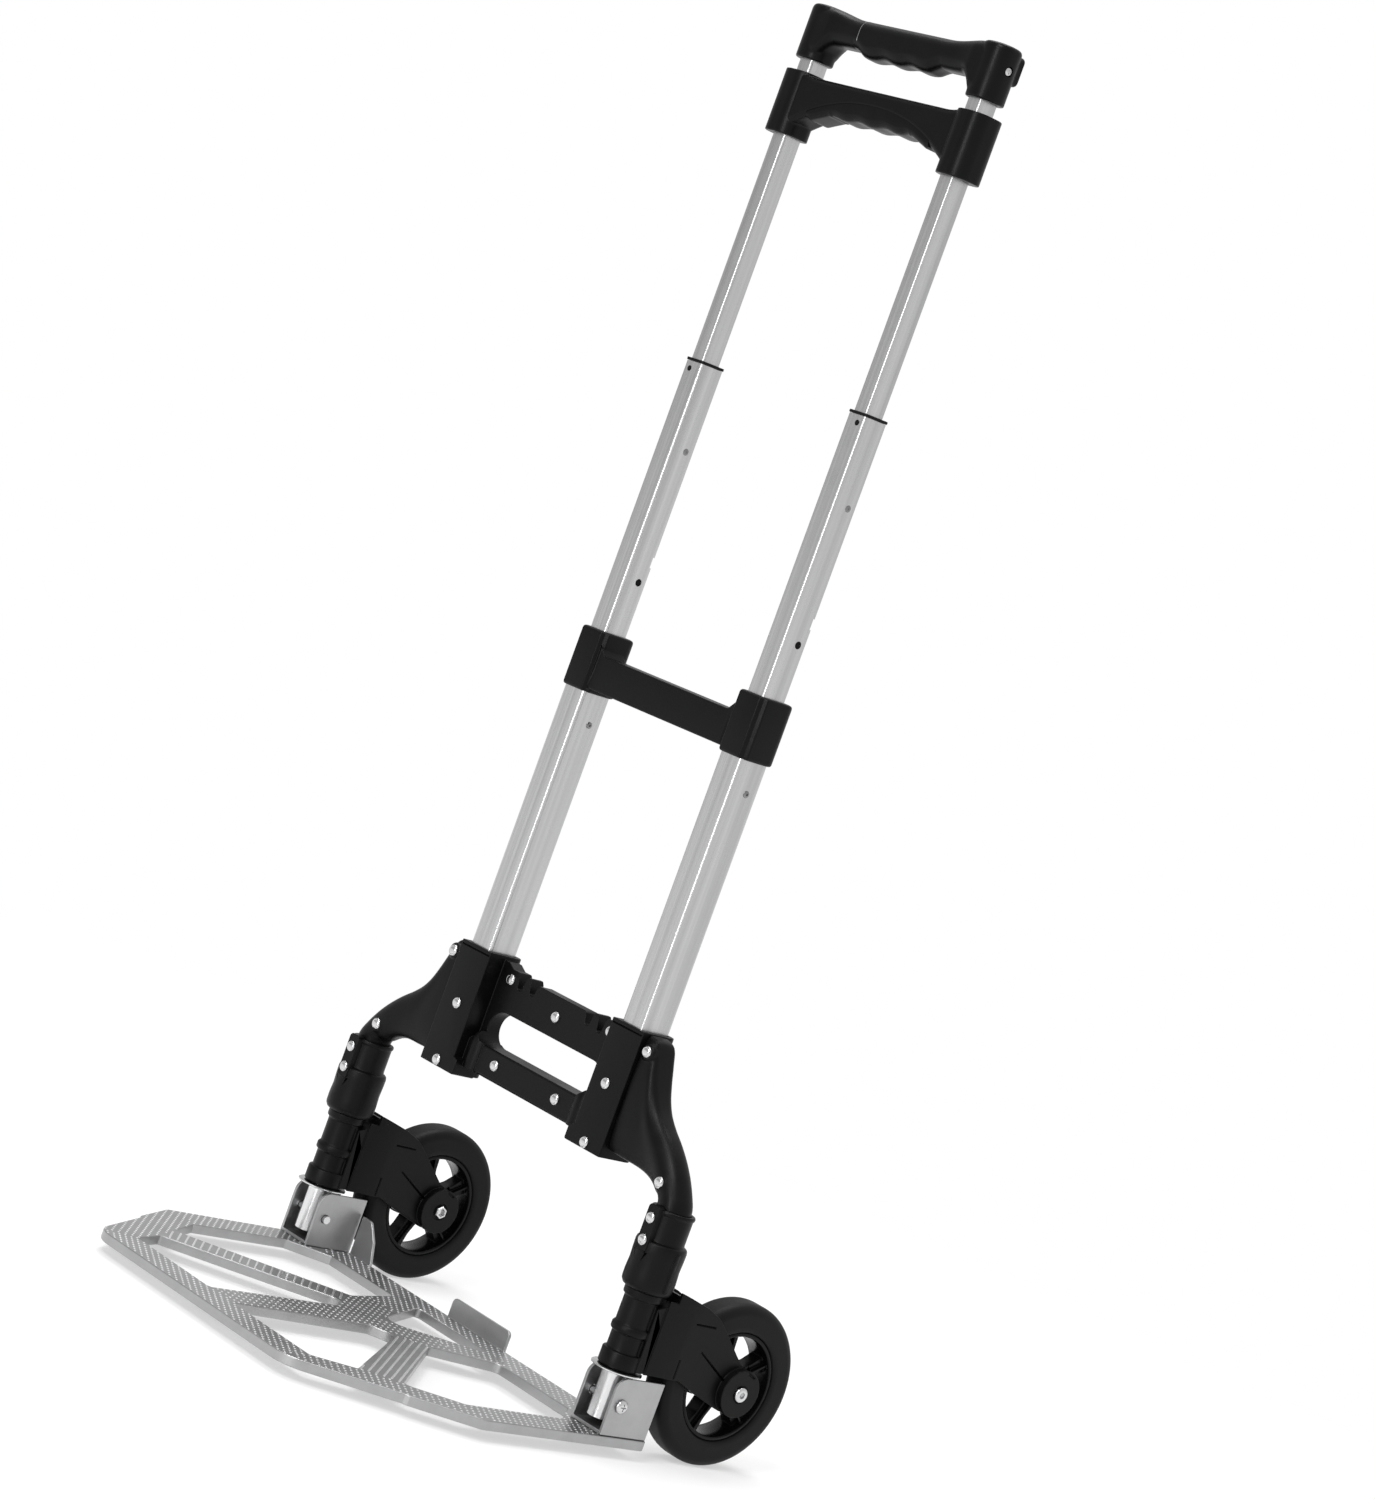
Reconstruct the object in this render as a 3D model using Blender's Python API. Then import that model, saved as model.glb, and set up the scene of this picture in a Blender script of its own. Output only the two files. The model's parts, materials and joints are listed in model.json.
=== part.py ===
"""Folding luggage cart with a three-stage telescopic handle, swing-in wheels and a fold-up toe plate.

The cart stands unfolded with its handle fully drawn out. X runs across the cart, -Y points to the toe
plate, +Y to the wheels and Z is up, with the floor at Z = 0. Dimensions are in millimetres, measured
from the line of the two legs; place() scales them to metres and centres the cart over the origin.
"""

import math

import bmesh
import bpy
from mathutils import Matrix, Vector
from mathutils.geometry import tessellate_polygon

MM = 0.001
GAP = 0.3

# Overall layout
LEG_X = 177.0
POST_X = 88.2
LEG_TO_ORIGIN_Y = 35.75

# Wheels and forks
WHEEL_RADIUS = 60.0
TYRE_WIDTH = 25.0
RIM_RADIUS = 40.0
HUB_WIDTH = 27.0
AXLE_Y = 98.5
AXLE_RADIUS = 3.0
CHEEK_INNER = 14.2
CHEEK_OUTER = 18.8
BOSS_OUTER = 24.6
BOSS_RADIUS = 17.3
SPOKES = 5

# Toe plate and its hinge
HINGE_Z = 37.0
HINGE_BOLT_RADIUS = 3.0
PLATE_BELOW_HINGE = 22.0
PLATE_DEPTH = 7.0
PLATE_SHEET = 2.2
PLATE_HALF_WIDTH = 195.0
PLATE_REAR = 34.5
BRACKET_HALF_WIDTH = 16.6
BRACKET_WALL = 2.4
BRACKET_FRONT = -9.5
BRACKET_REAR = 33.5
BRACKET_TOP = 19.6

# Legs
LEG_TUBE_RADIUS = 9.0
LEG_TUBE_BORE = 7.4
LEG_BOTTOM = 23.0
LEG_TOP = 176.0
WASHER_Z = 57.6
WASHER_RADIUS = 18.3
WASHER_THICKNESS = 1.6
HUB_BOTTOM = 59.6
HUB_TOP = 115.4
CLAMP_TOP = 173.0

# Handle posts: width, front y, back y and wall of each stage
OUTER_POST = (23.5, -11.9, 15.9, 1.5)
MIDDLE_POST = (18.6, -10.0, 12.5, 1.2)
INNER_POST = (14.0, -8.4, 9.1, 1.1)
SCREW_Y = 3.8
OUTER_Z = (184.5, 517.3)
MIDDLE_Z = (398.0, 721.8)
INNER_Z = (628.0, 986.0)

# Moulded frame
FRAME_BOTTOM = 182.5
FRAME_TOP = 274.5
BLOCK_INNER = 70.9
BLOCK_OUTER = 105.2
BLOCK_FRONT = -15.0
BLOCK_BACK = 18.4
BAR_TOP = 266.5
BAR_BOTTOM = 190.0
SLOT_HALF = 64.0
SLOT_Z = 224.5
SLOT_RADIUS = 13.0

# Arm outline from the post block to the leg: outer point (x, z), inner point (x, z), half depth, roll.
ARM_ROWS = [((105.5, 274.5), (105.5, 189.0), 11.8, 0.0),
            ((115.0, 272.0), (111.0, 188.6), 11.8, 0.2),
            ((119.5, 262.0), (117.0, 188.3), 11.7, 0.4),
            ((124.0, 250.5), (123.5, 188.0), 11.4, 0.8),
            ((129.0, 240.0), (130.0, 187.8), 11.0, 1.2),
            ((136.0, 230.5), (137.0, 187.3), 10.8, 1.4),
            ((145.5, 222.5), (143.5, 186.2), 10.8, 1.4),
            ((156.5, 215.0), (149.5, 184.4), 11.2, 1.1),
            ((167.5, 206.0), (155.0, 181.6), 11.7, 0.8),
            ((177.0, 196.0), (159.5, 178.4), 12.1, 0.4),
            ((183.8, 186.0), (162.6, 177.4), 12.4, 0.0),
            ((188.4, 177.5), (164.5, 174.2), 12.5, 0.0),
            ((189.5, 169.0), (164.5, 168.0), 12.5, 0.0),
            ((189.5, 150.8), (164.5, 150.8), 12.5, 0.0)]

ARM_STEPS = 12

# Bridge, release grip and top grip
BRIDGE_Z = (473.5, 518.5)
RELEASE_Z = (895.0, 941.5)
GRIP_Z = (951.0, 991.5)


def clear_scene():
    """Remove whatever the file opened with."""
    for obj in list(bpy.data.objects):
        bpy.data.objects.remove(obj, do_unlink=True)


def add_object(name, bm):
    """Turn a bmesh into an object of the scene."""
    mesh = bpy.data.meshes.new(name)
    bm.to_mesh(mesh)
    bm.free()
    obj = bpy.data.objects.new(name, mesh)
    bpy.context.scene.collection.objects.link(obj)
    return obj


def place(name, bm, side=1):
    """Finish a body drawn in millimetres from the leg line; side -1 mirrors it to the left."""
    bmesh.ops.recalc_face_normals(bm, faces=bm.faces)
    if side < 0:
        bm.transform(Matrix.Scale(-1.0, 4, (1.0, 0.0, 0.0)))
        bmesh.ops.reverse_faces(bm, faces=bm.faces)
    bm.transform(Matrix.Translation((0.0, LEG_TO_ORIGIN_Y, 0.0)))
    bm.transform(Matrix.Scale(MM, 4))
    return add_object(name, bm)


def boolean(target, tool, operation):
    """Combine a helper body with a target and keep the helper out of the finished part."""
    tool.hide_render = True
    tool.display_type = "WIRE"
    modifier = target.modifiers.new(operation.title(), "BOOLEAN")
    modifier.operation = operation
    modifier.solver = "EXACT"
    modifier.object = tool
    return target


def rings_body(bm, rings, closed=False):
    """Skin a list of equal-length rings; the ends are capped unless the run closes on itself."""
    rows = [[bm.verts.new(point) for point in ring] for ring in rings]
    count = len(rows[0])
    pairs = list(zip(rows, rows[1:]))
    if closed:
        pairs.append((rows[-1], rows[0]))
    for lower, upper in pairs:
        for i in range(count):
            j = (i + 1) % count
            bm.faces.new((lower[i], lower[j], upper[j], upper[i]))
    if not closed:
        bm.faces.new(list(reversed(rows[0])))
        bm.faces.new(rows[-1])
    return bm


def prism(outline, low, high, axis="Z", bm=None):
    """Extrude an outline along an axis. Z takes (x, y), Y takes (x, z) and X takes (y, z)."""
    bm = bm or bmesh.new()

    def point(a, b, c):
        if axis == "Z":
            return (a, b, c)
        if axis == "Y":
            return (a, c, b)
        return (c, a, b)

    rings = [[point(a, b, c) for a, b in outline] for c in (low, high)]
    return rings_body(bm, rings)


def holed_prism(outline, holes, low, high):
    """Extrude an (x, y) outline with through holes along Z."""
    bm = bmesh.new()
    loops = [outline] + holes
    flat = [point for loop in loops for point in loop]
    tops = [bm.verts.new((x, y, high)) for x, y in flat]
    bases = [bm.verts.new((x, y, low)) for x, y in flat]
    triangles = tessellate_polygon([[Vector((x, y, 0.0)) for x, y in loop] for loop in loops])
    for a, b, c in triangles:
        bm.faces.new((tops[a], tops[b], tops[c]))
        bm.faces.new((bases[c], bases[b], bases[a]))
    start = 0
    for loop in loops:
        size = len(loop)
        for i in range(size):
            a = start + i
            b = start + (i + 1) % size
            bm.faces.new((bases[a], bases[b], tops[b], tops[a]))
        start += size
    return bm


def tube_body(outer, inner, low, high):
    """Extrude the band between two matching (x, y) outlines along Z."""
    bm = bmesh.new()
    rings = []
    for outline, z in ((outer, low), (outer, high), (inner, high), (inner, low)):
        rings.append([(x, y, z) for x, y in outline])
    return rings_body(bm, rings, closed=True)


def circle(radius, count=32, cx=0.0, cy=0.0, start=0.0):
    """Points of a circle, counter-clockwise."""
    points = []
    for i in range(count):
        angle = start + 2.0 * math.pi * i / count
        points.append((cx + radius * math.cos(angle), cy + radius * math.sin(angle)))
    return points


def arc(cx, cy, radius, first, last, count):
    """Points along an arc, angles in degrees, both ends included."""
    points = []
    for i in range(count + 1):
        angle = math.radians(first + (last - first) * i / count)
        points.append((cx + radius * math.cos(angle), cy + radius * math.sin(angle)))
    return points


def rounded(points, radii, steps=4):
    """Round the corners of a polygon; radii gives one radius per corner, 0 for a sharp one."""
    result = []
    size = len(points)
    for i, (corner, radius) in enumerate(zip(points, radii)):
        here = Vector(corner)
        before = Vector(points[i - 1]) - here
        after = Vector(points[(i + 1) % size]) - here
        if radius <= 0.0:
            result.append(tuple(here))
            continue
        half = before.angle(after) / 2.0
        reach = min(radius / math.tan(half), 0.48 * before.length, 0.48 * after.length)
        radius = reach * math.tan(half)
        start = here + before.normalized() * reach
        centre = here + (before.normalized() + after.normalized()).normalized() * (radius / math.sin(half))
        end = here + after.normalized() * reach
        turn = (start - centre).angle_signed(end - centre)
        first = math.atan2(start.y - centre.y, start.x - centre.x)
        for k in range(steps + 1):
            angle = first - turn * k / steps
            result.append((centre.x + radius * math.cos(angle), centre.y + radius * math.sin(angle)))
    return result


def rectangle(x0, x1, y0, y1, radius=0.0, steps=4):
    """Rectangle with rounded corners, counter-clockwise."""
    corners = [(x0, y0), (x1, y0), (x1, y1), (x0, y1)]
    return rounded(corners, [radius] * 4, steps)


def moved(outline, dx, dy):
    """Shift an outline."""
    return [(x + dx, y + dy) for x, y in outline]


def post_outline(post, offset=0.0, steps=3):
    """Handle-post section grown by an offset: flat front and sides, wider corners at the back."""
    width, front, back, _ = post
    half = width / 2.0 + offset
    corners = [(-half, front - offset), (half, front - offset), (half, back + offset), (-half, back + offset)]
    tight = max(0.6, 0.6 + 0.125 * width + offset)
    wide = max(0.6, 0.21 * width + offset)
    return moved(rounded(corners, [tight, tight, wide, wide], steps), POST_X, 0.0)


def revolve(profile, count=32, bm=None):
    """Turn a closed (radius, z) profile about the Z axis into a ring-shaped body."""
    bm = bm or bmesh.new()
    rings = []
    for radius, z in profile:
        rings.append([(x, y, z) for x, y in circle(radius, count)])
    return rings_body(bm, rings, closed=True)


def turned(profile, count=24, bm=None):
    """Turn an open (radius, z) profile about Z into a solid body with flat ends."""
    bm = bm or bmesh.new()
    rings = [[(x, y, z) for x, y in circle(radius, count)] for radius, z in profile]
    return rings_body(bm, rings)


def along(bm, axis, position):
    """Swing a body drawn about Z onto another axis and move it to a position."""
    turns = {
        "Z": Matrix.Identity(4),
        "X": Matrix.Rotation(math.pi / 2.0, 4, "Y"),
        "-X": Matrix.Rotation(-math.pi / 2.0, 4, "Y"),
        "Y": Matrix.Rotation(-math.pi / 2.0, 4, "X"),
        "-Y": Matrix.Rotation(math.pi / 2.0, 4, "X"),
    }
    bm.transform(turns[axis])
    bm.transform(Matrix.Translation(position))
    return bm


def merge(first, *others):
    """Add the bodies of several bmeshes to the first one."""
    for other in others:
        mesh = bpy.data.meshes.new("join")
        other.to_mesh(mesh)
        other.free()
        first.from_mesh(mesh)
        bpy.data.meshes.remove(mesh)
    return first


def rivet_body(axis, position, head=3.6, height=2.0, shank=2.1, length=6.0):
    """Domed rivet whose head looks along the axis; position is the seat of the head."""
    profile = [(shank, -length), (shank, GAP)]
    for k in range(3):
        angle = math.radians(8.0 + 33.0 * k)
        profile.append((head * math.cos(angle), GAP + height * math.sin(angle)))
    return along(turned(profile, 10), axis, position)


def drill(axis, position, radius, length):
    """Blind hole cutter: runs from just outside the seat into the body."""
    return along(turned([(radius, -length), (radius, 1.0)], 10), axis, position)


def wheel_parts(side, label):
    """Moulded rim with its hub bushing bore, and the tyre around it."""
    half = HUB_WIDTH / 2.0
    web = 8.5
    centre = (LEG_X, AXLE_Y, WHEEL_RADIUS)
    barrel = revolve([(RIM_RADIUS, -10.5), (RIM_RADIUS, 10.5), (36.5, 11.0), (36.0, 0.0), (36.5, -11.0)], 32)
    rim = place("rim_" + label, along(barrel, "X", centre), side)
    spokes = []
    for k in range(SPOKES):
        spoke = prism(rectangle(8.0, 37.5, -3.4, 3.4), -web, web)
        spoke.transform(Matrix.Rotation(2.0 * math.pi * k / SPOKES + math.radians(48.0), 4, "Z"))
        spokes.append(spoke)
    hub = turned([(12.0, -half), (13.2, -half + 2.0), (13.2, half - 2.0), (12.0, half)], 20)
    boolean(rim, place("rim_hub_" + label, along(hub, "X", centre), side), "UNION")
    star = along(merge(*spokes), "X", centre)
    boolean(rim, place("rim_spokes_" + label, star, side), "UNION")
    bore = turned([(5.3, -20.0), (5.3, 20.0)], 16)
    boolean(rim, place("rim_bore_" + label, along(bore, "X", centre), side), "DIFFERENCE")

    wide = TYRE_WIDTH / 2.0
    inner = RIM_RADIUS + GAP
    profile = [(inner, -11.2), (RIM_RADIUS + 2.5, -wide), (54.6, -wide), (58.4, -wide + 3.2),
               (WHEEL_RADIUS, -wide + 7.0), (WHEEL_RADIUS, wide - 7.0), (58.4, wide - 3.2), (54.6, wide),
               (RIM_RADIUS + 2.5, wide), (inner, 11.2)]
    tyre = along(revolve(profile, 36), "X", centre)
    place("tyre_" + label, tyre, side)

    sleeve = revolve([(5.0, -half + 0.2), (5.0, half - 0.2), (3.3, half - 0.2), (3.3, -half + 0.2)], 12)
    place("wheel_bushing_" + label, along(sleeve, "X", centre), side)


def fork_outline():
    """Side outline (y, z) of a fork cheek, from the hub round the axle boss."""
    points = [(19.4, 121.5), (28.0, 119.5), (46.0, 114.8), (60.0, 109.0)]
    points += [(70.0, 101.0), (82.0, 90.5), (95.0, 79.5)]
    points += arc(AXLE_Y, WHEEL_RADIUS, BOSS_RADIUS, 80.0, -112.0, 9)
    points += [(60.0, 54.0), (42.0, 61.0), (10.0, 61.0), (10.0, 115.0), (19.4, 115.0)]
    return points


def fork_parts(side, label):
    """Swivelling fork: a stepped hub on the leg, two cheeks either side of the wheel, and the axle."""
    hub = revolve([
        (9.4, HUB_BOTTOM), (13.6, HUB_BOTTOM), (14.4, HUB_BOTTOM + 1.0), (14.4, 71.0), (12.2, 71.8),
        (12.2, 84.0), (13.9, 85.0), (13.9, 89.0), (12.4, 91.0), (12.4, 109.0), (14.0, 110.4),
        (14.0, HUB_TOP), (9.4, HUB_TOP)], 20)
    hub.transform(Matrix.Translation((LEG_X, 0.0, 0.0)))
    fork = place("fork_" + label, hub, side)

    outline = fork_outline()
    for low, high in ((CHEEK_INNER, CHEEK_OUTER), (-CHEEK_OUTER, -CHEEK_INNER)):
        cheek = prism(outline, LEG_X + low, LEG_X + high, "X")
        boolean(fork, place("fork_cheek_" + label, cheek, side), "UNION")
    neck_outline = [(4.0, 63.0), (33.5, 63.0), (33.5, 84.0), (40.0, 98.0), (50.0, 108.0), (46.0, 112.6),
                    (28.0, 117.3), (19.4, 119.0), (19.4, 112.0), (4.0, 107.0)]
    neck = prism(neck_outline, LEG_X - CHEEK_INNER - 1.0, LEG_X + CHEEK_INNER + 1.0, "X")
    boolean(fork, place("fork_neck_" + label, neck, side), "UNION")
    for inner, outer in ((CHEEK_OUTER - 1.0, BOSS_OUTER), (1.0 - CHEEK_OUTER, -BOSS_OUTER)):
        boss = turned([(BOSS_RADIUS, inner), (BOSS_RADIUS, outer * 0.97), (BOSS_RADIUS - 1.0, outer)], 20)
        boss = along(boss, "X", (LEG_X, AXLE_Y, WHEEL_RADIUS))
        boolean(fork, place("fork_boss_" + label, boss, side), "UNION")
    bore = turned([(LEG_TUBE_RADIUS + GAP, 40.0), (LEG_TUBE_RADIUS + GAP, 130.0)], 20)
    bore.transform(Matrix.Translation((LEG_X, 0.0, 0.0)))
    boolean(fork, place("fork_bore_" + label, bore, side), "DIFFERENCE")
    axle_bore = turned([(6.0, -40.0), (6.0, -BOSS_OUTER + 2.4), (AXLE_RADIUS + GAP, -BOSS_OUTER + 2.4),
                        (AXLE_RADIUS + GAP, BOSS_OUTER - 2.4), (6.0, BOSS_OUTER - 2.4), (6.0, 40.0)], 14)
    axle_bore = along(axle_bore, "X", (LEG_X, AXLE_Y, WHEEL_RADIUS))
    boolean(fork, place("fork_axle_bore_" + label, axle_bore, side), "DIFFERENCE")

    seat = BOSS_OUTER - 2.4 + GAP
    bolt = turned([(AXLE_RADIUS, -seat - 1.6), (AXLE_RADIUS, seat), (5.4, seat), (5.4, seat + 2.2),
                   (4.2, seat + 3.4)], 12)
    place("axle_bolt_" + label, along(bolt, "X", (LEG_X, AXLE_Y, WHEEL_RADIUS)), side)
    low = -seat - 3.6
    bore = AXLE_RADIUS + GAP
    nut = revolve([(bore, low), (4.6, low), (5.4, low + 1.2), (5.4, -seat), (bore, -seat)], 12)
    place("axle_nut_" + label, along(nut, "X", (LEG_X, AXLE_Y, WHEEL_RADIUS)), side)


def leg_parts(side, label):
    """Leg tube hanging from the frame arm, with the clamp above and the washer under the fork hub."""
    tube = revolve([(LEG_TUBE_BORE, LEG_BOTTOM), (LEG_TUBE_RADIUS, LEG_BOTTOM),
                    (LEG_TUBE_RADIUS, LEG_TOP), (LEG_TUBE_BORE, LEG_TOP)], 20)
    tube.transform(Matrix.Translation((LEG_X, 0.0, 0.0)))
    leg = place("leg_tube_" + label, tube, side)
    hole = turned([(HINGE_BOLT_RADIUS + GAP, -30.0), (HINGE_BOLT_RADIUS + GAP, 30.0)], 12)
    boolean(leg, place("leg_bolt_hole_" + label, along(hole, "X", (LEG_X, 0.0, HINGE_Z)), side), "DIFFERENCE")

    washer = revolve([(LEG_TUBE_RADIUS + GAP, WASHER_Z), (WASHER_RADIUS, WASHER_Z),
                      (WASHER_RADIUS, WASHER_Z + WASHER_THICKNESS),
                      (LEG_TUBE_RADIUS + GAP, WASHER_Z + WASHER_THICKNESS)], 24)
    washer.transform(Matrix.Translation((LEG_X, 0.0, 0.0)))
    place("leg_washer_" + label, washer, side)

    face = BRACKET_HALF_WIDTH + GAP
    bolt = turned([(HINGE_BOLT_RADIUS, -face - 2.6), (HINGE_BOLT_RADIUS, face), (4.6, face),
                   (4.6, face + 1.4), (3.6, face + 2.8)], 12)
    place("hinge_bolt_" + label, along(bolt, "X", (LEG_X, 0.0, HINGE_Z)), side)

    bore = LEG_TUBE_RADIUS + GAP
    foot = HUB_TOP + 0.4
    clamp = revolve([(bore, foot), (16.6, foot), (18.4, 118.6), (18.4, 148.0), (17.6, 150.4), (15.2, 151.0),
                     (15.2, CLAMP_TOP), (12.9, CLAMP_TOP), (12.9, 150.2), (bore, 150.2)], 24)
    clamp.transform(Matrix.Translation((LEG_X, 0.0, 0.0)))
    body = place("arm_clamp_" + label, clamp, side)
    flange = prism(rectangle(LEG_X - 5.5, LEG_X + 5.5, -18.8, -13.2, 0.8, 2), 141.0, CLAMP_TOP + 1.5)
    boolean(body, place("arm_clamp_flange_" + label, flange, side), "UNION")
    holes = [drill("-Y", (LEG_X, -18.8, z), 2.4, 4.4) for z in (165.0, 149.3)]
    boolean(body, place("arm_clamp_holes_" + label, merge(*holes), side), "DIFFERENCE")
    place("clamp_rivet_upper_" + label, rivet_body("-Y", (LEG_X, -18.8, 165.0), length=4.0, height=1.6), side)
    place("clamp_rivet_lower_" + label, rivet_body("-Y", (LEG_X, -18.8, 149.3), length=4.0, height=1.6), side)


def arm_ring(outer, inner, half, roll):
    """Flattened round section between two points of the arm's outline, thicker by roll near the outer one."""
    start = Vector((outer[0], 0.0, outer[1]))
    run = Vector((inner[0], 0.0, inner[1])) - start
    length = run.length
    flatness = min(1.0, (2.0 * half / length) ** 1.2)
    front = []
    for k in range(ARM_STEPS + 1):
        angle = math.pi * k / ARM_STEPS
        reach = length / 2.0 * (1.0 - math.cos(angle))
        lift = roll * math.exp(-((reach - half) / (0.9 * half)) ** 2)
        front.append((reach / length, (half + lift) * max(0.0, math.sin(angle)) ** flatness))
    ring = [start + run * share - Vector((0.0, depth, 0.0)) for share, depth in front]
    back = [start + run * share + Vector((0.0, depth, 0.0)) for share, depth in front[1:-1]]
    return ring + list(reversed(back))


def arm_parts(side, label):
    """S-shaped arm joining a post block to a leg, stiffened by a flat web."""
    arm = place("arm_" + label, rings_body(bmesh.new(), [arm_ring(*row) for row in ARM_ROWS]), side)
    bore = turned([(LEG_TUBE_RADIUS + GAP, 140.0), (LEG_TUBE_RADIUS + GAP, LEG_TOP + GAP)], 20)
    bore.transform(Matrix.Translation((LEG_X, 0.0, 0.0)))
    boolean(arm, place("arm_bore_" + label, bore, side), "DIFFERENCE")
    seats = [("arm_rivet_upper_", (112.6, -12.8, 263.0)), ("arm_rivet_lower_", (166.5, -12.2, 187.5))]
    for name, (x, y, z) in seats:
        pad = along(turned([(5.2, -8.0), (5.2, -y - 0.5), (4.7, -y)], 14), "-Y", (x, 0.0, z))
        boolean(arm, place(name + "pad_" + label, pad, side), "UNION")
    holes = [drill("-Y", seat, 2.4, 6.6) for _, seat in seats]
    boolean(arm, place("arm_rivet_holes_" + label, merge(*holes), side), "DIFFERENCE")
    for name, seat in seats:
        place(name + label, rivet_body("-Y", seat), side)


def post_parts(side, label):
    """The three nested tubes of one handle post with their caps and guides."""
    stages = (("outer_tube_", OUTER_POST, OUTER_Z), ("middle_tube_", MIDDLE_POST, MIDDLE_Z),
              ("inner_tube_", INNER_POST, INNER_Z))
    tubes = []
    for name, post, (low, high) in stages:
        body = tube_body(post_outline(post), post_outline(post, -post[3]), low, high)
        tubes.append(place(name + label, body, side))

    top = MIDDLE_Z[1] + GAP
    bead = tube_body(post_outline(MIDDLE_POST, 0.7), post_outline(INNER_POST, GAP), top, top + 2.0)
    place("tube_cap_" + label, bead, side)

    inner = post_outline(OUTER_POST, -OUTER_POST[3] - GAP)
    core = post_outline(MIDDLE_POST, -MIDDLE_POST[3] - 1.6)
    foot = MIDDLE_Z[0] - GAP
    place("middle_guide_" + label, tube_body(inner, core, foot - 12.0, foot), side)
    inner = post_outline(MIDDLE_POST, -MIDDLE_POST[3] - GAP)
    core = post_outline(INNER_POST, -INNER_POST[3] - 1.6)
    foot = INNER_Z[0] - GAP
    place("inner_guide_" + label, tube_body(inner, core, foot - 10.0, foot), side)

    # The lock hole runs through both flanks of the post, the screw hole through the outer one only
    flank = POST_X + MIDDLE_POST[0] / 2.0
    lock = drill("X", (flank, SCREW_Y, 559.5), 2.4, MIDDLE_POST[0] + 1.0)
    holes = merge(lock, drill("X", (flank, SCREW_Y, 659.0), 1.5, 3.0))
    boolean(tubes[1], place("middle_tube_holes_" + label, holes, side), "DIFFERENCE")


def frame_parts():
    """Moulded crossbar with a block round each post, a carry slot and cord hooks."""
    block = rounded([(BLOCK_INNER, BLOCK_FRONT), (BLOCK_OUTER, BLOCK_FRONT), (BLOCK_OUTER, BLOCK_BACK),
                     (BLOCK_INNER, BLOCK_BACK)], [1.5, 1.5, 6.8, 6.8], 3)
    frame = place("crossbar", prism(block, FRAME_BOTTOM, FRAME_TOP))
    boolean(frame, place("crossbar_block", prism(block, FRAME_BOTTOM, FRAME_TOP), -1), "UNION")
    edge = BLOCK_INNER + 6.0
    web_outline = [(-edge, BAR_BOTTOM), (edge, BAR_BOTTOM), (edge, 272.0), (63.0, 272.0), (55.0, 267.5),
                   (48.5, 267.5), (47.0, 258.0), (43.5, 258.0), (42.0, BAR_TOP + 1.5), (36.0, BAR_TOP + 1.5),
                   (34.0, 259.5), (30.5, 259.5), (28.0, BAR_TOP)]
    web_outline += [(-x, z) for x, z in reversed(web_outline[2:])]
    boolean(frame, place("crossbar_web", prism(web_outline, 0.2, 12.4, "Y")), "UNION")
    lip = rectangle(-edge, edge, BAR_BOTTOM, SLOT_Z - SLOT_RADIUS + 1.5, 1.2, 2)
    boolean(frame, place("crossbar_lower_bar", prism(lip, -6.6, 13.4, "Y")), "UNION")
    slot = arc(SLOT_HALF - SLOT_RADIUS, SLOT_Z, SLOT_RADIUS, -90.0, 90.0, 10)
    slot += arc(SLOT_RADIUS - SLOT_HALF, SLOT_Z, SLOT_RADIUS, 90.0, 270.0, 10)
    boolean(frame, place("crossbar_slot", prism(slot, -30.0, 30.0, "Y")), "DIFFERENCE")
    pocket = post_outline(OUTER_POST, GAP)
    for side in (1, -1):
        cutter = place("crossbar_pocket", prism(pocket, FRAME_BOTTOM - 10.0, FRAME_TOP + 10.0), side)
        boolean(frame, cutter, "DIFFERENCE")

    seats = []
    for label, side in (("right", 1), ("left", -1)):
        seats.append(("frame_rivet_upper_" + label, (side * 87.0, BLOCK_FRONT, 230.5), 2.8))
        seats.append(("frame_rivet_lower_" + label, (side * 87.0, BLOCK_FRONT, 187.0), 2.8))
        seats.append(("bar_rivet_lower_" + label, (side * 35.5, -6.6, 201.5), 6.0))
    holes = [drill("-Y", seat, 2.4, length + 0.4) for _, seat, length in seats]
    boolean(frame, place("crossbar_rivet_holes", merge(*holes)), "DIFFERENCE")
    for name, seat, length in seats:
        place(name, rivet_body("-Y", seat, length=length))


def bridge_part():
    """Bridge tying the tops of the outer tubes: two fluted collars and a flat bar."""
    low, high = BRIDGE_Z
    collar = rounded([(POST_X - 15.2, -14.6), (POST_X + 15.2, -14.6), (POST_X + 15.2, 18.4),
                      (POST_X - 15.2, 18.4)], [4.0, 4.0, 8.0, 8.0], 3)
    bridge = place("bridge", prism(collar, low, high))
    boolean(bridge, place("bridge_collar", prism(collar, low, high), -1), "UNION")
    edge = POST_X - 10.0
    bar = rounded([(-edge, low + 3.0), (edge, low + 3.0), (edge, low + 36.0), (POST_X - 15.0, low + 36.0),
                   (POST_X - 15.0, low + 28.5), (15.0 - POST_X, low + 28.5), (15.0 - POST_X, low + 36.0),
                   (-edge, low + 36.0)], [0, 0, 0, 0, 5.0, 5.0, 0, 0], 4)
    boolean(bridge, place("bridge_bar", prism(bar, -9.0, 10.0, "Y")), "UNION")
    pocket = post_outline(OUTER_POST, GAP)
    for side in (1, -1):
        cutter = place("bridge_pocket", prism(pocket, low - 5.0, OUTER_Z[1] + GAP), side)
        boolean(bridge, cutter, "DIFFERENCE")
        throat = post_outline(MIDDLE_POST, GAP)
        boolean(bridge, place("bridge_throat", prism(throat, low, high + 5.0), side), "DIFFERENCE")


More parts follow.
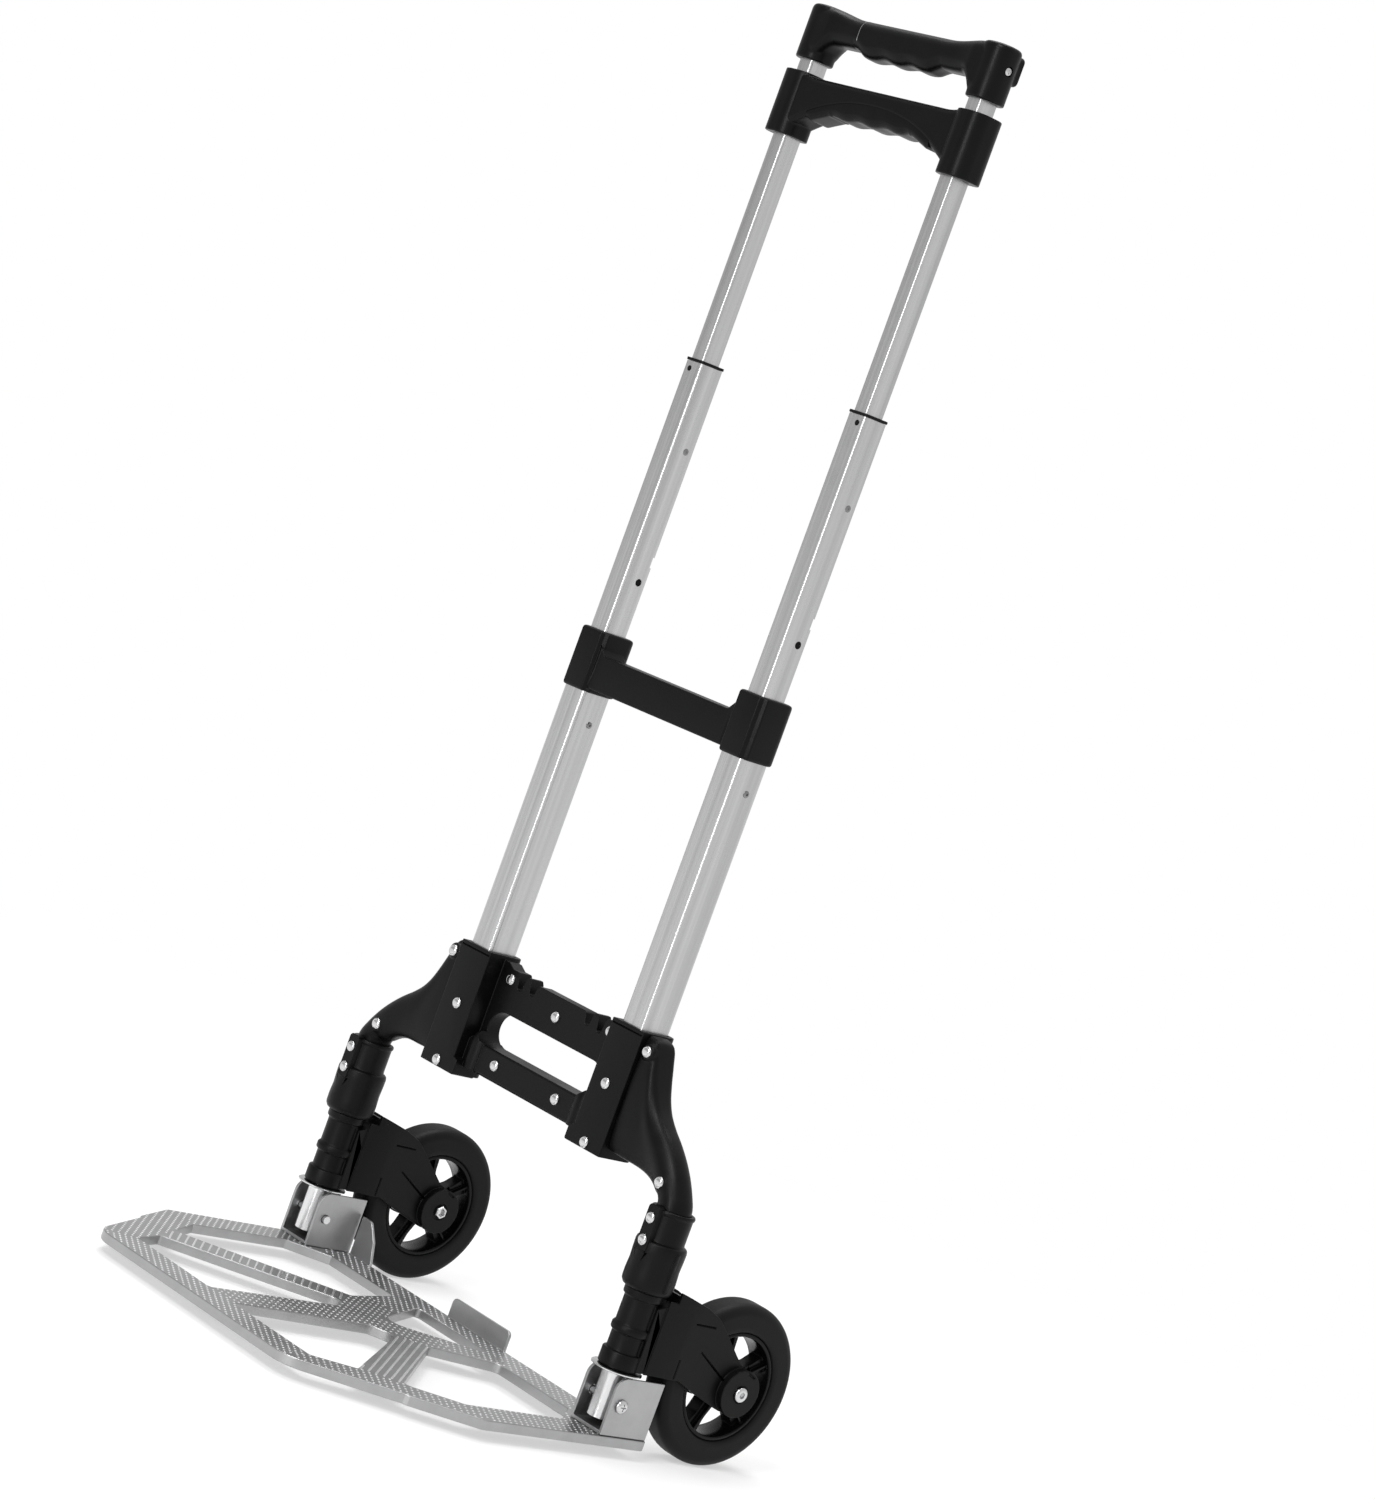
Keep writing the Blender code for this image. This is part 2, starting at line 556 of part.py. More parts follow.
def bar_rings(xs, top, bottom, front, back, round_to):
    """Rings for a grip bar running along X: top and bottom are functions of x."""
    rings = []
    for x in xs:
        section = rectangle(front, back, bottom(x), top(x), round_to, 2)
        rings.append([(x, y, z) for y, z in section])
    return rings


def top_grip_part():
    """Upper hand grip: a sleeve over each inner tube and a bar with finger waves."""
    low, high = GRIP_Z
    sleeve = rectangle(POST_X - 12.6, POST_X + 14.0, -13.4, 14.2, 7.5, 3)
    rings = [[(x, y, low) for x, y in sleeve], [(x, y, high - 1.8) for x, y in sleeve]]
    cap = rectangle(POST_X - 11.2, POST_X + 12.6, -12.0, 12.8, 6.4, 3)
    rings.append([(x, y, high) for x, y in cap])
    grip = place("top_grip", rings_body(bmesh.new(), rings))
    boolean(grip, place("top_grip_sleeve", rings_body(bmesh.new(), rings), -1), "UNION")

    def bottom(x):
        reach = abs(x)
        base = 14.6 - 9.0 * max(0.0, (reach - 66.0) / 12.0) ** 2
        if reach < 46.0:
            base -= 4.2 * min(1.0, (46.0 - reach) / 12.0) + 0.9 * math.cos(2.0 * math.pi * reach / 27.6)
        return low + base

    def top(x):
        return high - 1.0 - 5.0 * min(1.0, max(0.0, (80.0 - abs(x)) / 16.0)) ** 0.8

    xs = [-79.0, -74.0, -69.0, -60.0, -48.0]
    xs += [-44.0 + 88.0 * i / 14 for i in range(15)]
    xs += [48.0, 60.0, 69.0, 74.0, 79.0]
    bar = bar_rings(xs, top, bottom, -11.6, 12.0, 8.0)
    boolean(grip, place("top_grip_bar", rings_body(bmesh.new(), bar)), "UNION")
    for side in (1, -1):
        pocket = post_outline(INNER_POST, GAP)
        cutter = place("top_grip_pocket", prism(pocket, low - 5.0, INNER_Z[1] + GAP), side)
        boolean(grip, cutter, "DIFFERENCE")
        boss = prism(rectangle(POST_X - 8.0, POST_X + 9.0, high - 24.0, high - 3.0, 3.0, 3), 12.0, 17.4, "Y")
        boolean(grip, place("top_grip_boss", boss, side), "UNION")
        seat = (POST_X + 14.0, 0.4, low + 23.5)
        recess = along(turned([(3.2, -1.6), (3.2, 2.0)], 12), "X", seat)
        boolean(grip, place("top_grip_recess", recess, side), "DIFFERENCE")
        bore = along(turned([(1.7, -5.6), (1.7, -1.0)], 10), "X", seat)
        boolean(grip, place("top_grip_screw_bore", bore, side), "DIFFERENCE")
        screw = along(turned([(1.4, -5.2), (1.4, -1.3), (2.8, -1.3), (2.8, -0.6), (1.8, 0.0)], 10), "X", seat)
        place("grip_screw_right" if side > 0 else "grip_screw_left", screw, side)


def release_grip_parts():
    """Lower grip that is squeezed up to free the handle, with its finger insert."""
    low, high = RELEASE_Z
    sleeve = rectangle(POST_X - 12.2, POST_X + 16.2, -14.6, 15.4, 6.5, 3)
    grip = place("release_grip", prism(sleeve, low, high))
    boolean(grip, place("release_sleeve", prism(sleeve, low, high), -1), "UNION")

    def arch(x):
        return low + 29.6 - 21.0 * min(1.0, abs(x) / 78.0) ** 2.2

    xs = [-80.0 + 160.0 * i / 16 for i in range(17)]
    bar = bar_rings(xs, lambda x: high - 2.2, arch, -12.4, 13.0, 5.0)
    boolean(grip, place("release_bar", rings_body(bmesh.new(), bar)), "UNION")
    pocket_outline = [(x, arch(x) - 6.0) for x in (-70.0, 70.0)]
    pocket_outline += [(70.0 - 140.0 * i / 14, arch(70.0 - 140.0 * i / 14) + 5.0) for i in range(15)]
    pocket = prism(pocket_outline, -9.2, 9.8, "Y")
    boolean(grip, place("release_insert_pocket", pocket), "DIFFERENCE")
    for side in (1, -1):
        opening = post_outline(INNER_POST, GAP)
        cutter = place("release_pocket", prism(opening, low - 5.0, high + 5.0), side)
        boolean(grip, cutter, "DIFFERENCE")

    def finger(x):
        reach = abs(x)
        wave = 0.8 * math.cos(2.0 * math.pi * reach / 27.6) if reach < 41.0 else 0.0
        return low + 19.8 - wave - max(0.0, reach - 44.0) * 0.34

    xs = [-64.0 + 128.0 * i / 18 for i in range(19)]
    insert = bar_rings(xs, lambda x: arch(x) + 4.6, finger, -8.8, 9.4, 3.0)
    place("finger_insert", rings_body(bmesh.new(), insert))


def toe_plate_outline(step=True):
    """Toe plate edge as (x, y), with or without the small step in its slanted front corners."""
    rear = PLATE_REAR
    corners = [(PLATE_HALF_WIDTH, rear), (PLATE_HALF_WIDTH, rear - 150.0)]
    radii = [3.0 if step else 6.0, 9.0]
    if step:
        corners += [(165.6, rear - 194.0), (162.4, rear - 195.5)]
        radii += [1.2, 1.2]
    corners.append((115.5, rear - 264.5))
    radii.append(28.0)
    full = corners + [(-x, y) for x, y in reversed(corners)]
    return rounded(full, radii + list(reversed(radii)), 4)


def toe_plate_holes():
    """Openings of the toe plate as (x, y) loops: two front, two side and one rear."""
    rear = PLATE_REAR

    def loop(points, radii):
        return rounded([(u, rear - v) for u, v in points], radii, 3)

    front = [(14.5, 237.0), (18.0, 116.0), (33.0, 104.0), (121.5, 206.0), (106.5, 236.5)]
    side = [(141.0, 181.0), (48.0, 84.0), (64.0, 31.0), (143.0, 31.0), (167.5, 57.0), (166.0, 145.0)]
    right = [loop(front, [3.0, 6.0, 14.0, 3.0, 4.0]), loop(side, [5.0, 5.0, 6.0, 2.0, 3.0, 3.0])]
    left = [[(-x, y) for x, y in hole] for hole in right]
    centre = loop([(0.0, 93.0), (-44.0, 22.5), (44.0, 22.5)], [12.0, 3.0, 3.0])
    return right + left + [centre]


def grown(outline, distance):
    """Offset a loop sideways; a positive distance widens it."""
    size = len(outline)
    area = sum(outline[i - 1][0] * outline[i][1] - outline[i][0] * outline[i - 1][1] for i in range(size))
    sign = 1.0 if area > 0.0 else -1.0
    result = []
    for i in range(size):
        before = Vector(outline[i]) - Vector(outline[i - 1])
        after = Vector(outline[(i + 1) % size]) - Vector(outline[i])
        normal_a = Vector((before.y, -before.x)).normalized() * sign
        normal_b = Vector((after.y, -after.x)).normalized() * sign
        middle = normal_a + normal_b
        reach = distance / max(0.5, middle.length_squared / 2.0)
        result.append((outline[i][0] + middle.x * reach, outline[i][1] + middle.y * reach))
    return result


def toe_plate_parts():
    """Pressed toe plate with a rim, turned-up rear tabs and the two hinge brackets."""
    top = HINGE_Z - PLATE_BELOW_HINGE
    outline = toe_plate_outline()
    inside = toe_plate_outline(step=False)
    holes = toe_plate_holes()
    plate = place("toe_plate", holed_prism(outline, holes, top - PLATE_DEPTH, top))
    hollow = holed_prism(grown(inside, -3.2), [grown(hole, 2.4) for hole in holes],
                         top - PLATE_DEPTH - 1.0, top - PLATE_SHEET)
    boolean(plate, place("toe_plate_hollow", hollow), "DIFFERENCE")
    tab = rounded([(-34.0, top - 5.0), (34.0, top - 5.0), (34.0, top + 15.0), (-34.0, top + 15.0)],
                  [0, 0, 4, 4])
    tab_body = prism(tab, PLATE_REAR - 2.4, PLATE_REAR - 0.2, "Y")
    boolean(plate, place("toe_plate_tab", tab_body), "UNION")
    for side in (1, -1):
        tab = rounded([(132.0, top - 5.0), (158.0, top - 5.0), (158.0, top + 30.0), (147.0, top + 30.0),
                       (137.0, top + 17.0), (132.0, top + 2.0)], [0, 0, 1, 6, 6, 6])
        tab_body = prism(tab, PLATE_REAR - 2.4, PLATE_REAR - 0.2, "Y")
        boolean(plate, place("toe_plate_side_tab", tab_body, side), "UNION")

    for side, label in ((1, "right"), (-1, "left")):
        base = top + GAP
        outer = BRACKET_HALF_WIDTH
        inner = outer - BRACKET_WALL
        high = HINGE_Z + BRACKET_TOP
        shape = rounded([(BRACKET_FRONT, base), (BRACKET_REAR, base), (BRACKET_REAR, high),
                         (BRACKET_FRONT, high)], [0.0, 0.0, 2.0, 9.0], 5)
        bracket = place("hinge_bracket_" + label, prism(shape, LEG_X - outer, LEG_X + outer, "X"), side)
        channel = prism(rectangle(LEG_X - inner, LEG_X + inner, base + 2.4, high + 9.0), -60.0, 60.0, "Y")
        boolean(bracket, place("bracket_channel_" + label, channel, side), "DIFFERENCE")
        hole = turned([(HINGE_BOLT_RADIUS + GAP, -30.0), (HINGE_BOLT_RADIUS + GAP, 30.0)], 12)
        hole = along(hole, "X", (LEG_X, 0.0, HINGE_Z))
        boolean(bracket, place("bracket_bolt_hole_" + label, hole, side), "DIFFERENCE")
        wedge = prism([(17.4, base + 2.7), (31.0, base + 2.7), (31.0, base + 24.0), (27.0, base + 31.0),
                       (19.0, base + 31.0), (17.4, base + 27.0)], LEG_X - 9.0, LEG_X + 9.0, "X")
        place("fold_cam_" + label, wedge, side)


def build():
    """Make every body of the cart."""
    clear_scene()
    frame_parts()
    bridge_part()
    top_grip_part()
    release_grip_parts()
    toe_plate_parts()
    for side, label in ((1, "right"), (-1, "left")):
        arm_parts(side, label)
        leg_parts(side, label)
        post_parts(side, label)
        fork_parts(side, label)
        wheel_parts(side, label)


build()
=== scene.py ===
"""Looks of the folding luggage cart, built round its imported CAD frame.

Shapes are drawn in millimetres from the line between the two legs and are placed in the
frame's metres by piece(). Sizes come from the CAD nodes wherever a node gives them.
"""

import json
import math

import bmesh
import bpy
from mathutils import Matrix, Vector
from mathutils.geometry import tessellate_polygon

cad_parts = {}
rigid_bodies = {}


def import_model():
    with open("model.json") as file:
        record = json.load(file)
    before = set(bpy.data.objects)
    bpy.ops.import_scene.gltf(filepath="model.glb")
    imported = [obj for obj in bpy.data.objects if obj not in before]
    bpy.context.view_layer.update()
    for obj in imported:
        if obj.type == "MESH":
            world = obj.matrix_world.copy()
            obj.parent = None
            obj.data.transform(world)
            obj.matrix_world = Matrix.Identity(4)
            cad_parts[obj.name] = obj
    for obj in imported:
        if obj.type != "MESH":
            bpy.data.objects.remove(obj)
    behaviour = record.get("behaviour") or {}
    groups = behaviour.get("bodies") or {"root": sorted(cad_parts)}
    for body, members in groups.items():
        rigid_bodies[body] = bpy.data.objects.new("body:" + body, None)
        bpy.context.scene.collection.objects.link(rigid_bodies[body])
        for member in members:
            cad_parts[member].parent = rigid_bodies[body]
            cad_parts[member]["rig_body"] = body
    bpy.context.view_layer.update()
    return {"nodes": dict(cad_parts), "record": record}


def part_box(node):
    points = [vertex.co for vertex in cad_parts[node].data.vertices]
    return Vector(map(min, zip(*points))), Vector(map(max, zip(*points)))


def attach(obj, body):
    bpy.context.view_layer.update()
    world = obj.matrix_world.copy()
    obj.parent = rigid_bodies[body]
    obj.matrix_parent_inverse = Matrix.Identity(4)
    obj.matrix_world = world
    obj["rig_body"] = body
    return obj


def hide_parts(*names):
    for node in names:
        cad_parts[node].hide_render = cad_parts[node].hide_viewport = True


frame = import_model()
MM = 0.001
ADD = "UNION"
CUT = "DIFFERENCE"


def node_box(name):
    """Lowest and highest corner of a CAD node in millimetres, y measured from the legs."""
    low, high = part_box(name)
    return (low / MM - Vector((0.0, LEG_LINE, 0.0)), high / MM - Vector((0.0, LEG_LINE, 0.0)))


LEG_LINE = 0.0
_low, _high = node_box("leg_tube_right")
LEG_LINE = (_low.y + _high.y) / 2.0
LEG_X = (_low.x + _high.x) / 2.0
LEG_RADIUS = (_high.x - _low.x) / 2.0



def placed(name, data):
    """Put new object data into the scene."""
    made = bpy.data.objects.new(name, data)
    bpy.context.scene.collection.objects.link(made)
    return made


def baked(name, bm):
    """Turn a shape into a mesh; the shape is used up."""
    mesh = bpy.data.meshes.new(name)
    bm.to_mesh(mesh)
    bm.free()
    return mesh


# ---------------------------------------------------------------- camera, light and floor

CAMERA_PLACE = Vector((2.09487, -1.90592, 0.62411))
CAMERA_RIGHT = Vector((0.62996, 0.69713, 0.3423))
CAMERA_UP = Vector((-0.27382, -0.21309, 0.93788))
CAMERA_LENS = 106.303
BRIGHT_SIDE = (0.67, 0.74, 0.0)


def make_camera():
    """A long lens at three-quarter front, rolled so that the cart leans as it does in its picture."""
    data = bpy.data.cameras.new("camera")
    data.sensor_fit = "HORIZONTAL"
    data.sensor_width = 36.0
    data.lens = CAMERA_LENS
    data.clip_end = 60.0
    camera = placed("camera", data)
    back = CAMERA_RIGHT.cross(CAMERA_UP)
    turn = Matrix((CAMERA_RIGHT, CAMERA_UP, back)).transposed().to_4x4()
    camera.matrix_world = Matrix.Translation(CAMERA_PLACE) @ turn
    bpy.context.scene.camera = camera


def area_light(name, place, target, width, height, power):
    """A soft rectangular lamp aimed at a point."""
    data = bpy.data.lights.new(name, "AREA")
    data.shape = "RECTANGLE"
    data.size = width
    data.size_y = height
    data.energy = power
    lamp = placed(name, data)
    lamp.location = place
    lamp.rotation_mode = "QUATERNION"
    lamp.rotation_quaternion = (Vector(target) - Vector(place)).to_track_quat("-Z", "Y")


def node(tree, kind, **inputs):
    """Add a shader node; each input is given a constant or another node's output."""
    made = tree.nodes.new(kind)
    for key, value in inputs.items():
        plug(tree, made.inputs[key.replace("_", " ")], value)
    return made


def plug(tree, socket, value):
    """Set a socket to a constant, or link it to another node's output."""
    if isinstance(value, bpy.types.NodeSocket):
        tree.links.new(value, socket)
    else:
        socket.default_value = value


def maths(tree, kind, operation, *values):
    """Add a Math or VectorMath node and return its output that holds the result."""
    made = tree.nodes.new("ShaderNode" + kind)
    made.operation = operation
    for socket, value in zip(made.inputs, values):
        plug(tree, socket, value)
    return next(socket for socket in made.outputs if socket.enabled)


def tone_ramp(tree, start, dark, end, light):
    """Add a ramp from one colour to another."""
    ramp = tree.nodes.new("ShaderNodeValToRGB")
    for element, position, colour in zip(ramp.color_ramp.elements, (start, end), (dark, light)):
        element.position = position
        element.color = (*colour, 1.0)
    return ramp


def blend(tree, share, first, second, out_kind):
    """Mix two shaders into a new output node."""
    mix = node(tree, "ShaderNodeMixShader", Fac=share)
    tree.links.new(first.outputs[0], mix.inputs[1])
    tree.links.new(second.outputs[0], mix.inputs[2])
    out = tree.nodes.new(out_kind)
    tree.links.new(mix.outputs[0], out.inputs["Surface"])


def make_world():
    """Studio surround: white to the eye, in reflections brighter behind the cart than before it."""
    world = bpy.data.worlds.new("studio")
    bpy.context.scene.world = world
    world.use_nodes = True
    tree = world.node_tree
    tree.nodes.clear()
    coords = tree.nodes.new("ShaderNodeTexCoord")
    facing = maths(tree, "VectorMath", "DOT_PRODUCT", coords.outputs["Generated"], BRIGHT_SIDE)
    share = node(tree, "ShaderNodeMapRange", Value=facing, From_Min=-1.0, From_Max=1.0)
    ramp = tone_ramp(tree, 0.0, (0.50, 0.50, 0.50), 1.0, (0.80, 0.80, 0.80))
    tree.links.new(share.outputs["Result"], ramp.inputs["Fac"])
    unseen = node(tree, "ShaderNodeBackground", Color=ramp.outputs["Color"], Strength=1.0)
    seen = node(tree, "ShaderNodeBackground", Color=(1.0, 1.0, 1.0, 1.0), Strength=1.0)
    path = tree.nodes.new("ShaderNodeLightPath")
    blend(tree, path.outputs["Is Camera Ray"], unseen, seen, "ShaderNodeOutputWorld")


def make_floor():
    """Pale floor disc whose edge brightens into the surround."""
    bm = bmesh.new()
    bmesh.ops.create_circle(bm, cap_ends=True, radius=30.0, segments=96)
    bm.transform(Matrix.Translation((0.0, 0.0, -0.0004)))
    floor = placed("floor", baked("floor", bm))
    finish = bpy.data.materials.new("pale_floor")
    finish.use_nodes = True
    tree = finish.node_tree
    tree.nodes.clear()
    coords = tree.nodes.new("ShaderNodeTexCoord")
    length = maths(tree, "VectorMath", "LENGTH", coords.outputs["Object"])
    fade = node(tree, "ShaderNodeMapRange", Value=length, From_Min=0.40, From_Max=1.4, To_Min=0.5)
    fade.interpolation_type = "SMOOTHSTEP"
    matt = node(tree, "ShaderNodeBsdfDiffuse", Color=(0.93, 0.93, 0.93, 1.0))
    glow = node(tree, "ShaderNodeEmission", Color=(1.0, 1.0, 1.0, 1.0), Strength=1.0)
    blend(tree, fade.outputs["Result"], matt, glow, "ShaderNodeOutputMaterial")
    floor.data.materials.append(finish)


make_camera()
make_world()
make_floor()
area_light("key", (0.9, -2.2, 3.0), (0.0, 0.0, 0.3), 1.2, 1.2, 55.0)
area_light("top", (-0.8, 0.5, 3.4), (0.0, 0.0, 0.3), 2.0, 2.0, 60.0)
area_light("strip", (0.9, -3.1, 0.95), (0.0, 0.0, 0.5), 0.5, 1.9, 34.0)
bpy.context.scene.view_settings.view_transform = "Standard"

# ---------------------------------------------------------------- materials


RIB_PITCH = 1.6
RIB_HEIGHT = 7.0


def drawn_streaks(tree, place):
    """Long thin streaks along a drawn tube."""
    drawn = node(tree, "ShaderNodeMapping", Vector=place, Scale=(1.0, 0.35, 0.004))
    streak = node(tree, "ShaderNodeTexNoise", Vector=drawn.outputs["Vector"], Scale=420.0, Detail=2.0,
                  Roughness=0.6)
    return streak.outputs["Fac"]


def drawn_ribs(tree, coords, grain):
    """Fine lines along a tube's front face, on top of its grain."""
    split = node(tree, "ShaderNodeSeparateXYZ", Vector=coords.outputs["Object"])
    turn = maths(tree, "Math", "MULTIPLY", split.outputs["X"], 2.0 * math.pi / (RIB_PITCH * MM))
    wave = maths(tree, "Math", "SINE", turn)
    facing = node(tree, "ShaderNodeSeparateXYZ", Vector=coords.outputs["Normal"])
    front = node(tree, "ShaderNodeMapRange", Value=facing.outputs["Y"], From_Min=-0.995, From_Max=-0.9,
                 To_Min=RIB_HEIGHT, To_Max=0.0)
    return maths(tree, "Math", "MULTIPLY_ADD", wave, front.outputs["Result"], grain)


def look(name, tone, metallic, roughness, spread, grain, depth, stretch=(1.0, 1.0, 1.0), ribs=False):
    """Procedural material: mottled tone and roughness, and a fine grain that may be stretched.

    tone is the base grey, spread how far tone and roughness wander, grain the grain size in
    millimetres and depth its height in millimetres. ribs adds fine lines along a tube's front.
    """
    material = bpy.data.materials.new(name)
    material.use_nodes = True
    tree = material.node_tree
    shader = tree.nodes["Principled BSDF"]
    shader.inputs["Metallic"].default_value = metallic
    shader.inputs["Specular IOR Level"].default_value = 0.5 if metallic > 0.5 else 0.14
    coords = tree.nodes.new("ShaderNodeTexCoord")
    place = coords.outputs["Object"]
    stretched = node(tree, "ShaderNodeMapping", Vector=place, Scale=stretch)
    broad = node(tree, "ShaderNodeTexNoise", Vector=place, Scale=55.0, Detail=5.0,
                 Roughness=0.6).outputs["Fac"]
    fine = node(tree, "ShaderNodeTexNoise", Vector=stretched.outputs["Vector"], Scale=1000.0 / grain,
                Detail=2.0, Roughness=0.55).outputs["Fac"]

    dark = tuple(value * (1.0 - spread) for value in tone)
    light = tuple(min(1.0, value * (1.0 + spread)) for value in tone)
    ramp = tone_ramp(tree, 0.3, dark, 0.7, light)
    tree.links.new(drawn_streaks(tree, place) if ribs else broad, ramp.inputs["Fac"])
    tree.links.new(ramp.outputs["Color"], shader.inputs["Base Color"])

    mottle = maths(tree, "Math", "ADD", broad, fine)
    rough = node(tree, "ShaderNodeMapRange", Value=mottle, From_Min=0.7, From_Max=1.3,
                 To_Min=roughness * (1.0 - spread), To_Max=roughness * (1.0 + spread))
    tree.links.new(rough.outputs["Result"], shader.inputs["Roughness"])

    height = drawn_ribs(tree, coords, fine) if ribs else fine
    bump = node(tree, "ShaderNodeBump", Height=height, Strength=1.0, Distance=depth * MM)
    tree.links.new(bump.outputs["Normal"], shader.inputs["Normal"])
    return material


def grey(value):
    """Near-neutral grey with a trace of blue."""
    return (value, value, value * 1.01)


ALONG_TUBE = (1.0, 1.0, 0.02)
LOOKS = {
    "frame_plastic": look("satin_black_plastic", grey(0.0022), 0.0, 0.40, 0.20, 0.75, 0.016),
    "grip": look("grip_black_plastic", grey(0.0021), 0.0, 0.34, 0.14, 0.55, 0.008),
    "tube": look("anodised_aluminium", grey(0.53), 1.0, 0.30, 0.13, 0.5, 0.004, ALONG_TUBE, ribs=True),
    "leg": look("drawn_aluminium", grey(0.70), 1.0, 0.24, 0.06, 0.5, 0.004, ALONG_TUBE),
    "plate": look("silver_satin_metal", grey(0.38), 0.95, 0.36, 0.07, 0.5, 0.006),
    "tread": look("worn_bright_tread", grey(0.86), 0.90, 0.30, 0.06, 0.5, 0.004),
    "steel": look("bright_plated_steel", grey(0.62), 1.0, 0.16, 0.05, 0.8, 0.004),
    "screw": look("dull_plated_steel", grey(0.24), 1.0, 0.24, 0.05, 0.8, 0.004),
    "rim": look("gloss_black_plastic", grey(0.0020), 0.0, 0.26, 0.14, 0.6, 0.005),
    "tyre": look("matt_black_rubber", grey(0.0040), 0.0, 0.50, 0.16, 0.45, 0.016),
    "guide": look("moulded_black_plastic", grey(0.0028), 0.0, 0.46, 0.15, 0.7, 0.012),
    # pocket: near-black matt finish, painted shade standing in for the dark inside of the lock holes and the
    # front peg hole
    "pocket": look("shadowed_recess", grey(0.002), 0.0, 0.70, 0.10, 0.7, 0.010),
}
SLOT_OF = {row["node"]: row["material_slot"] for row in frame["record"]["subparts"]}

# ---------------------------------------------------------------- shape helpers (millimetres)


def rings_body(rings, closed=False):
    """Skin a list of equal-length rings; the ends are capped unless the run closes on itself."""
    bm = bmesh.new()
    rows = [[bm.verts.new(point) for point in ring] for ring in rings]
    count = len(rows[0])
    pairs = list(zip(rows, rows[1:]))
    if closed:
        pairs.append((rows[-1], rows[0]))
    for lower, upper in pairs:
        for i in range(count):
            j = (i + 1) % count
            bm.faces.new((lower[i], lower[j], upper[j], upper[i]))
    if not closed:
        bm.faces.new(list(reversed(rows[0])))
        bm.faces.new(rows[-1])
    return bm


def prism(outline, low, high, axis="Z"):
    """Extrude an outline along an axis. Z takes (x, y), Y takes (x, z) and X takes (y, z)."""
    order = {"Z": lambda a, b, c: (a, b, c), "Y": lambda a, b, c: (a, c, b), "X": lambda a, b, c: (c, a, b)}
    point = order[axis]
    return rings_body([[point(a, b, c) for a, b in outline] for c in (low, high)])


def holed_prism(outline, holes, low, high):
    """Extrude an (x, y) outline with through holes along Z."""
    bm = bmesh.new()
    loops = [outline] + holes
    flat = [point for loop in loops for point in loop]
    tops = [bm.verts.new((x, y, high)) for x, y in flat]
    bases = [bm.verts.new((x, y, low)) for x, y in flat]
    triangles = tessellate_polygon([[Vector((x, y, 0.0)) for x, y in loop] for loop in loops])
    for a, b, c in triangles:
        bm.faces.new((tops[a], tops[b], tops[c]))
        bm.faces.new((bases[c], bases[b], bases[a]))
    start = 0
    for loop in loops:
        size = len(loop)
        for i in range(size):
            a = start + i
            b = start + (i + 1) % size
            bm.faces.new((bases[a], bases[b], tops[b], tops[a]))
        start += size
    return bm


def tube_body(outer, inner, low, high):
    """Extrude the band between two matching (x, y) outlines along Z."""
    rings = [[(x, y, z) for x, y in outline]
             for outline, z in ((outer, low), (outer, high), (inner, high), (inner, low))]
    return rings_body(rings, closed=True)


def circle(radius, count=48):
    """Points of a circle, counter-clockwise."""
    turn = 2.0 * math.pi / count
    return [(radius * math.cos(turn * i), radius * math.sin(turn * i)) for i in range(count)]


def arc(cx, cy, radius, first, last, count):
    """Points along an arc, angles in degrees, both ends included."""
    points = []
    for i in range(count + 1):
        angle = math.radians(first + (last - first) * i / count)
        points.append((cx + radius * math.cos(angle), cy + radius * math.sin(angle)))
    return points


def rounded(points, radii, steps=6):
    """Round the corners of a polygon; radii gives one radius per corner, 0 for a sharp one."""
    result = []
    size = len(points)
    for i, (corner, radius) in enumerate(zip(points, radii)):
        here = Vector(corner)
        before = Vector(points[i - 1]) - here
        after = Vector(points[(i + 1) % size]) - here
        if radius <= 0.0:
            result.append(tuple(here))
            continue
        half = before.angle(after) / 2.0
        reach = min(radius / math.tan(half), 0.48 * before.length, 0.48 * after.length)
        radius = reach * math.tan(half)
        start = here + before.normalized() * reach
        centre = here + (before.normalized() + after.normalized()).normalized() * (radius / math.sin(half))
        end = here + after.normalized() * reach
        turn = (start - centre).angle_signed(end - centre)
        first = math.atan2(start.y - centre.y, start.x - centre.x)
        for k in range(steps + 1):
            angle = first - turn * k / steps
            result.append((centre.x + radius * math.cos(angle), centre.y + radius * math.sin(angle)))
    return result


def rectangle(x0, x1, y0, y1, radius=0.0, steps=6):
    """Rectangle with rounded corners, counter-clockwise."""
    return rounded([(x0, y0), (x1, y0), (x1, y1), (x0, y1)], [radius] * 4, steps)


def strip(start, end, width):
    """Thin rectangle between two flat points."""
    start = Vector(start)
    end = Vector(end)
    side = (end - start).orthogonal().normalized() * (width / 2.0)
    return [tuple(start + side), tuple(start - side), tuple(end - side), tuple(end + side)]


def moved(outline, dx, dy):
    """Shift an outline."""
    return [(x + dx, y + dy) for x, y in outline]


def grown(outline, distance):
    """Offset a loop sideways; a positive distance widens it."""
    size = len(outline)
    area = sum(outline[i - 1][0] * outline[i][1] - outline[i][0] * outline[i - 1][1] for i in range(size))
    sign = 1.0 if area > 0.0 else -1.0
    result = []
    for i in range(size):
        before = Vector(outline[i]) - Vector(outline[i - 1])
        after = Vector(outline[(i + 1) % size]) - Vector(outline[i])
        normal_a = Vector((before.y, -before.x)).normalized() * sign
        normal_b = Vector((after.y, -after.x)).normalized() * sign
        middle = normal_a + normal_b
        reach = distance / max(0.5, middle.length_squared / 2.0)
        result.append((outline[i][0] + middle.x * reach, outline[i][1] + middle.y * reach))
    return result


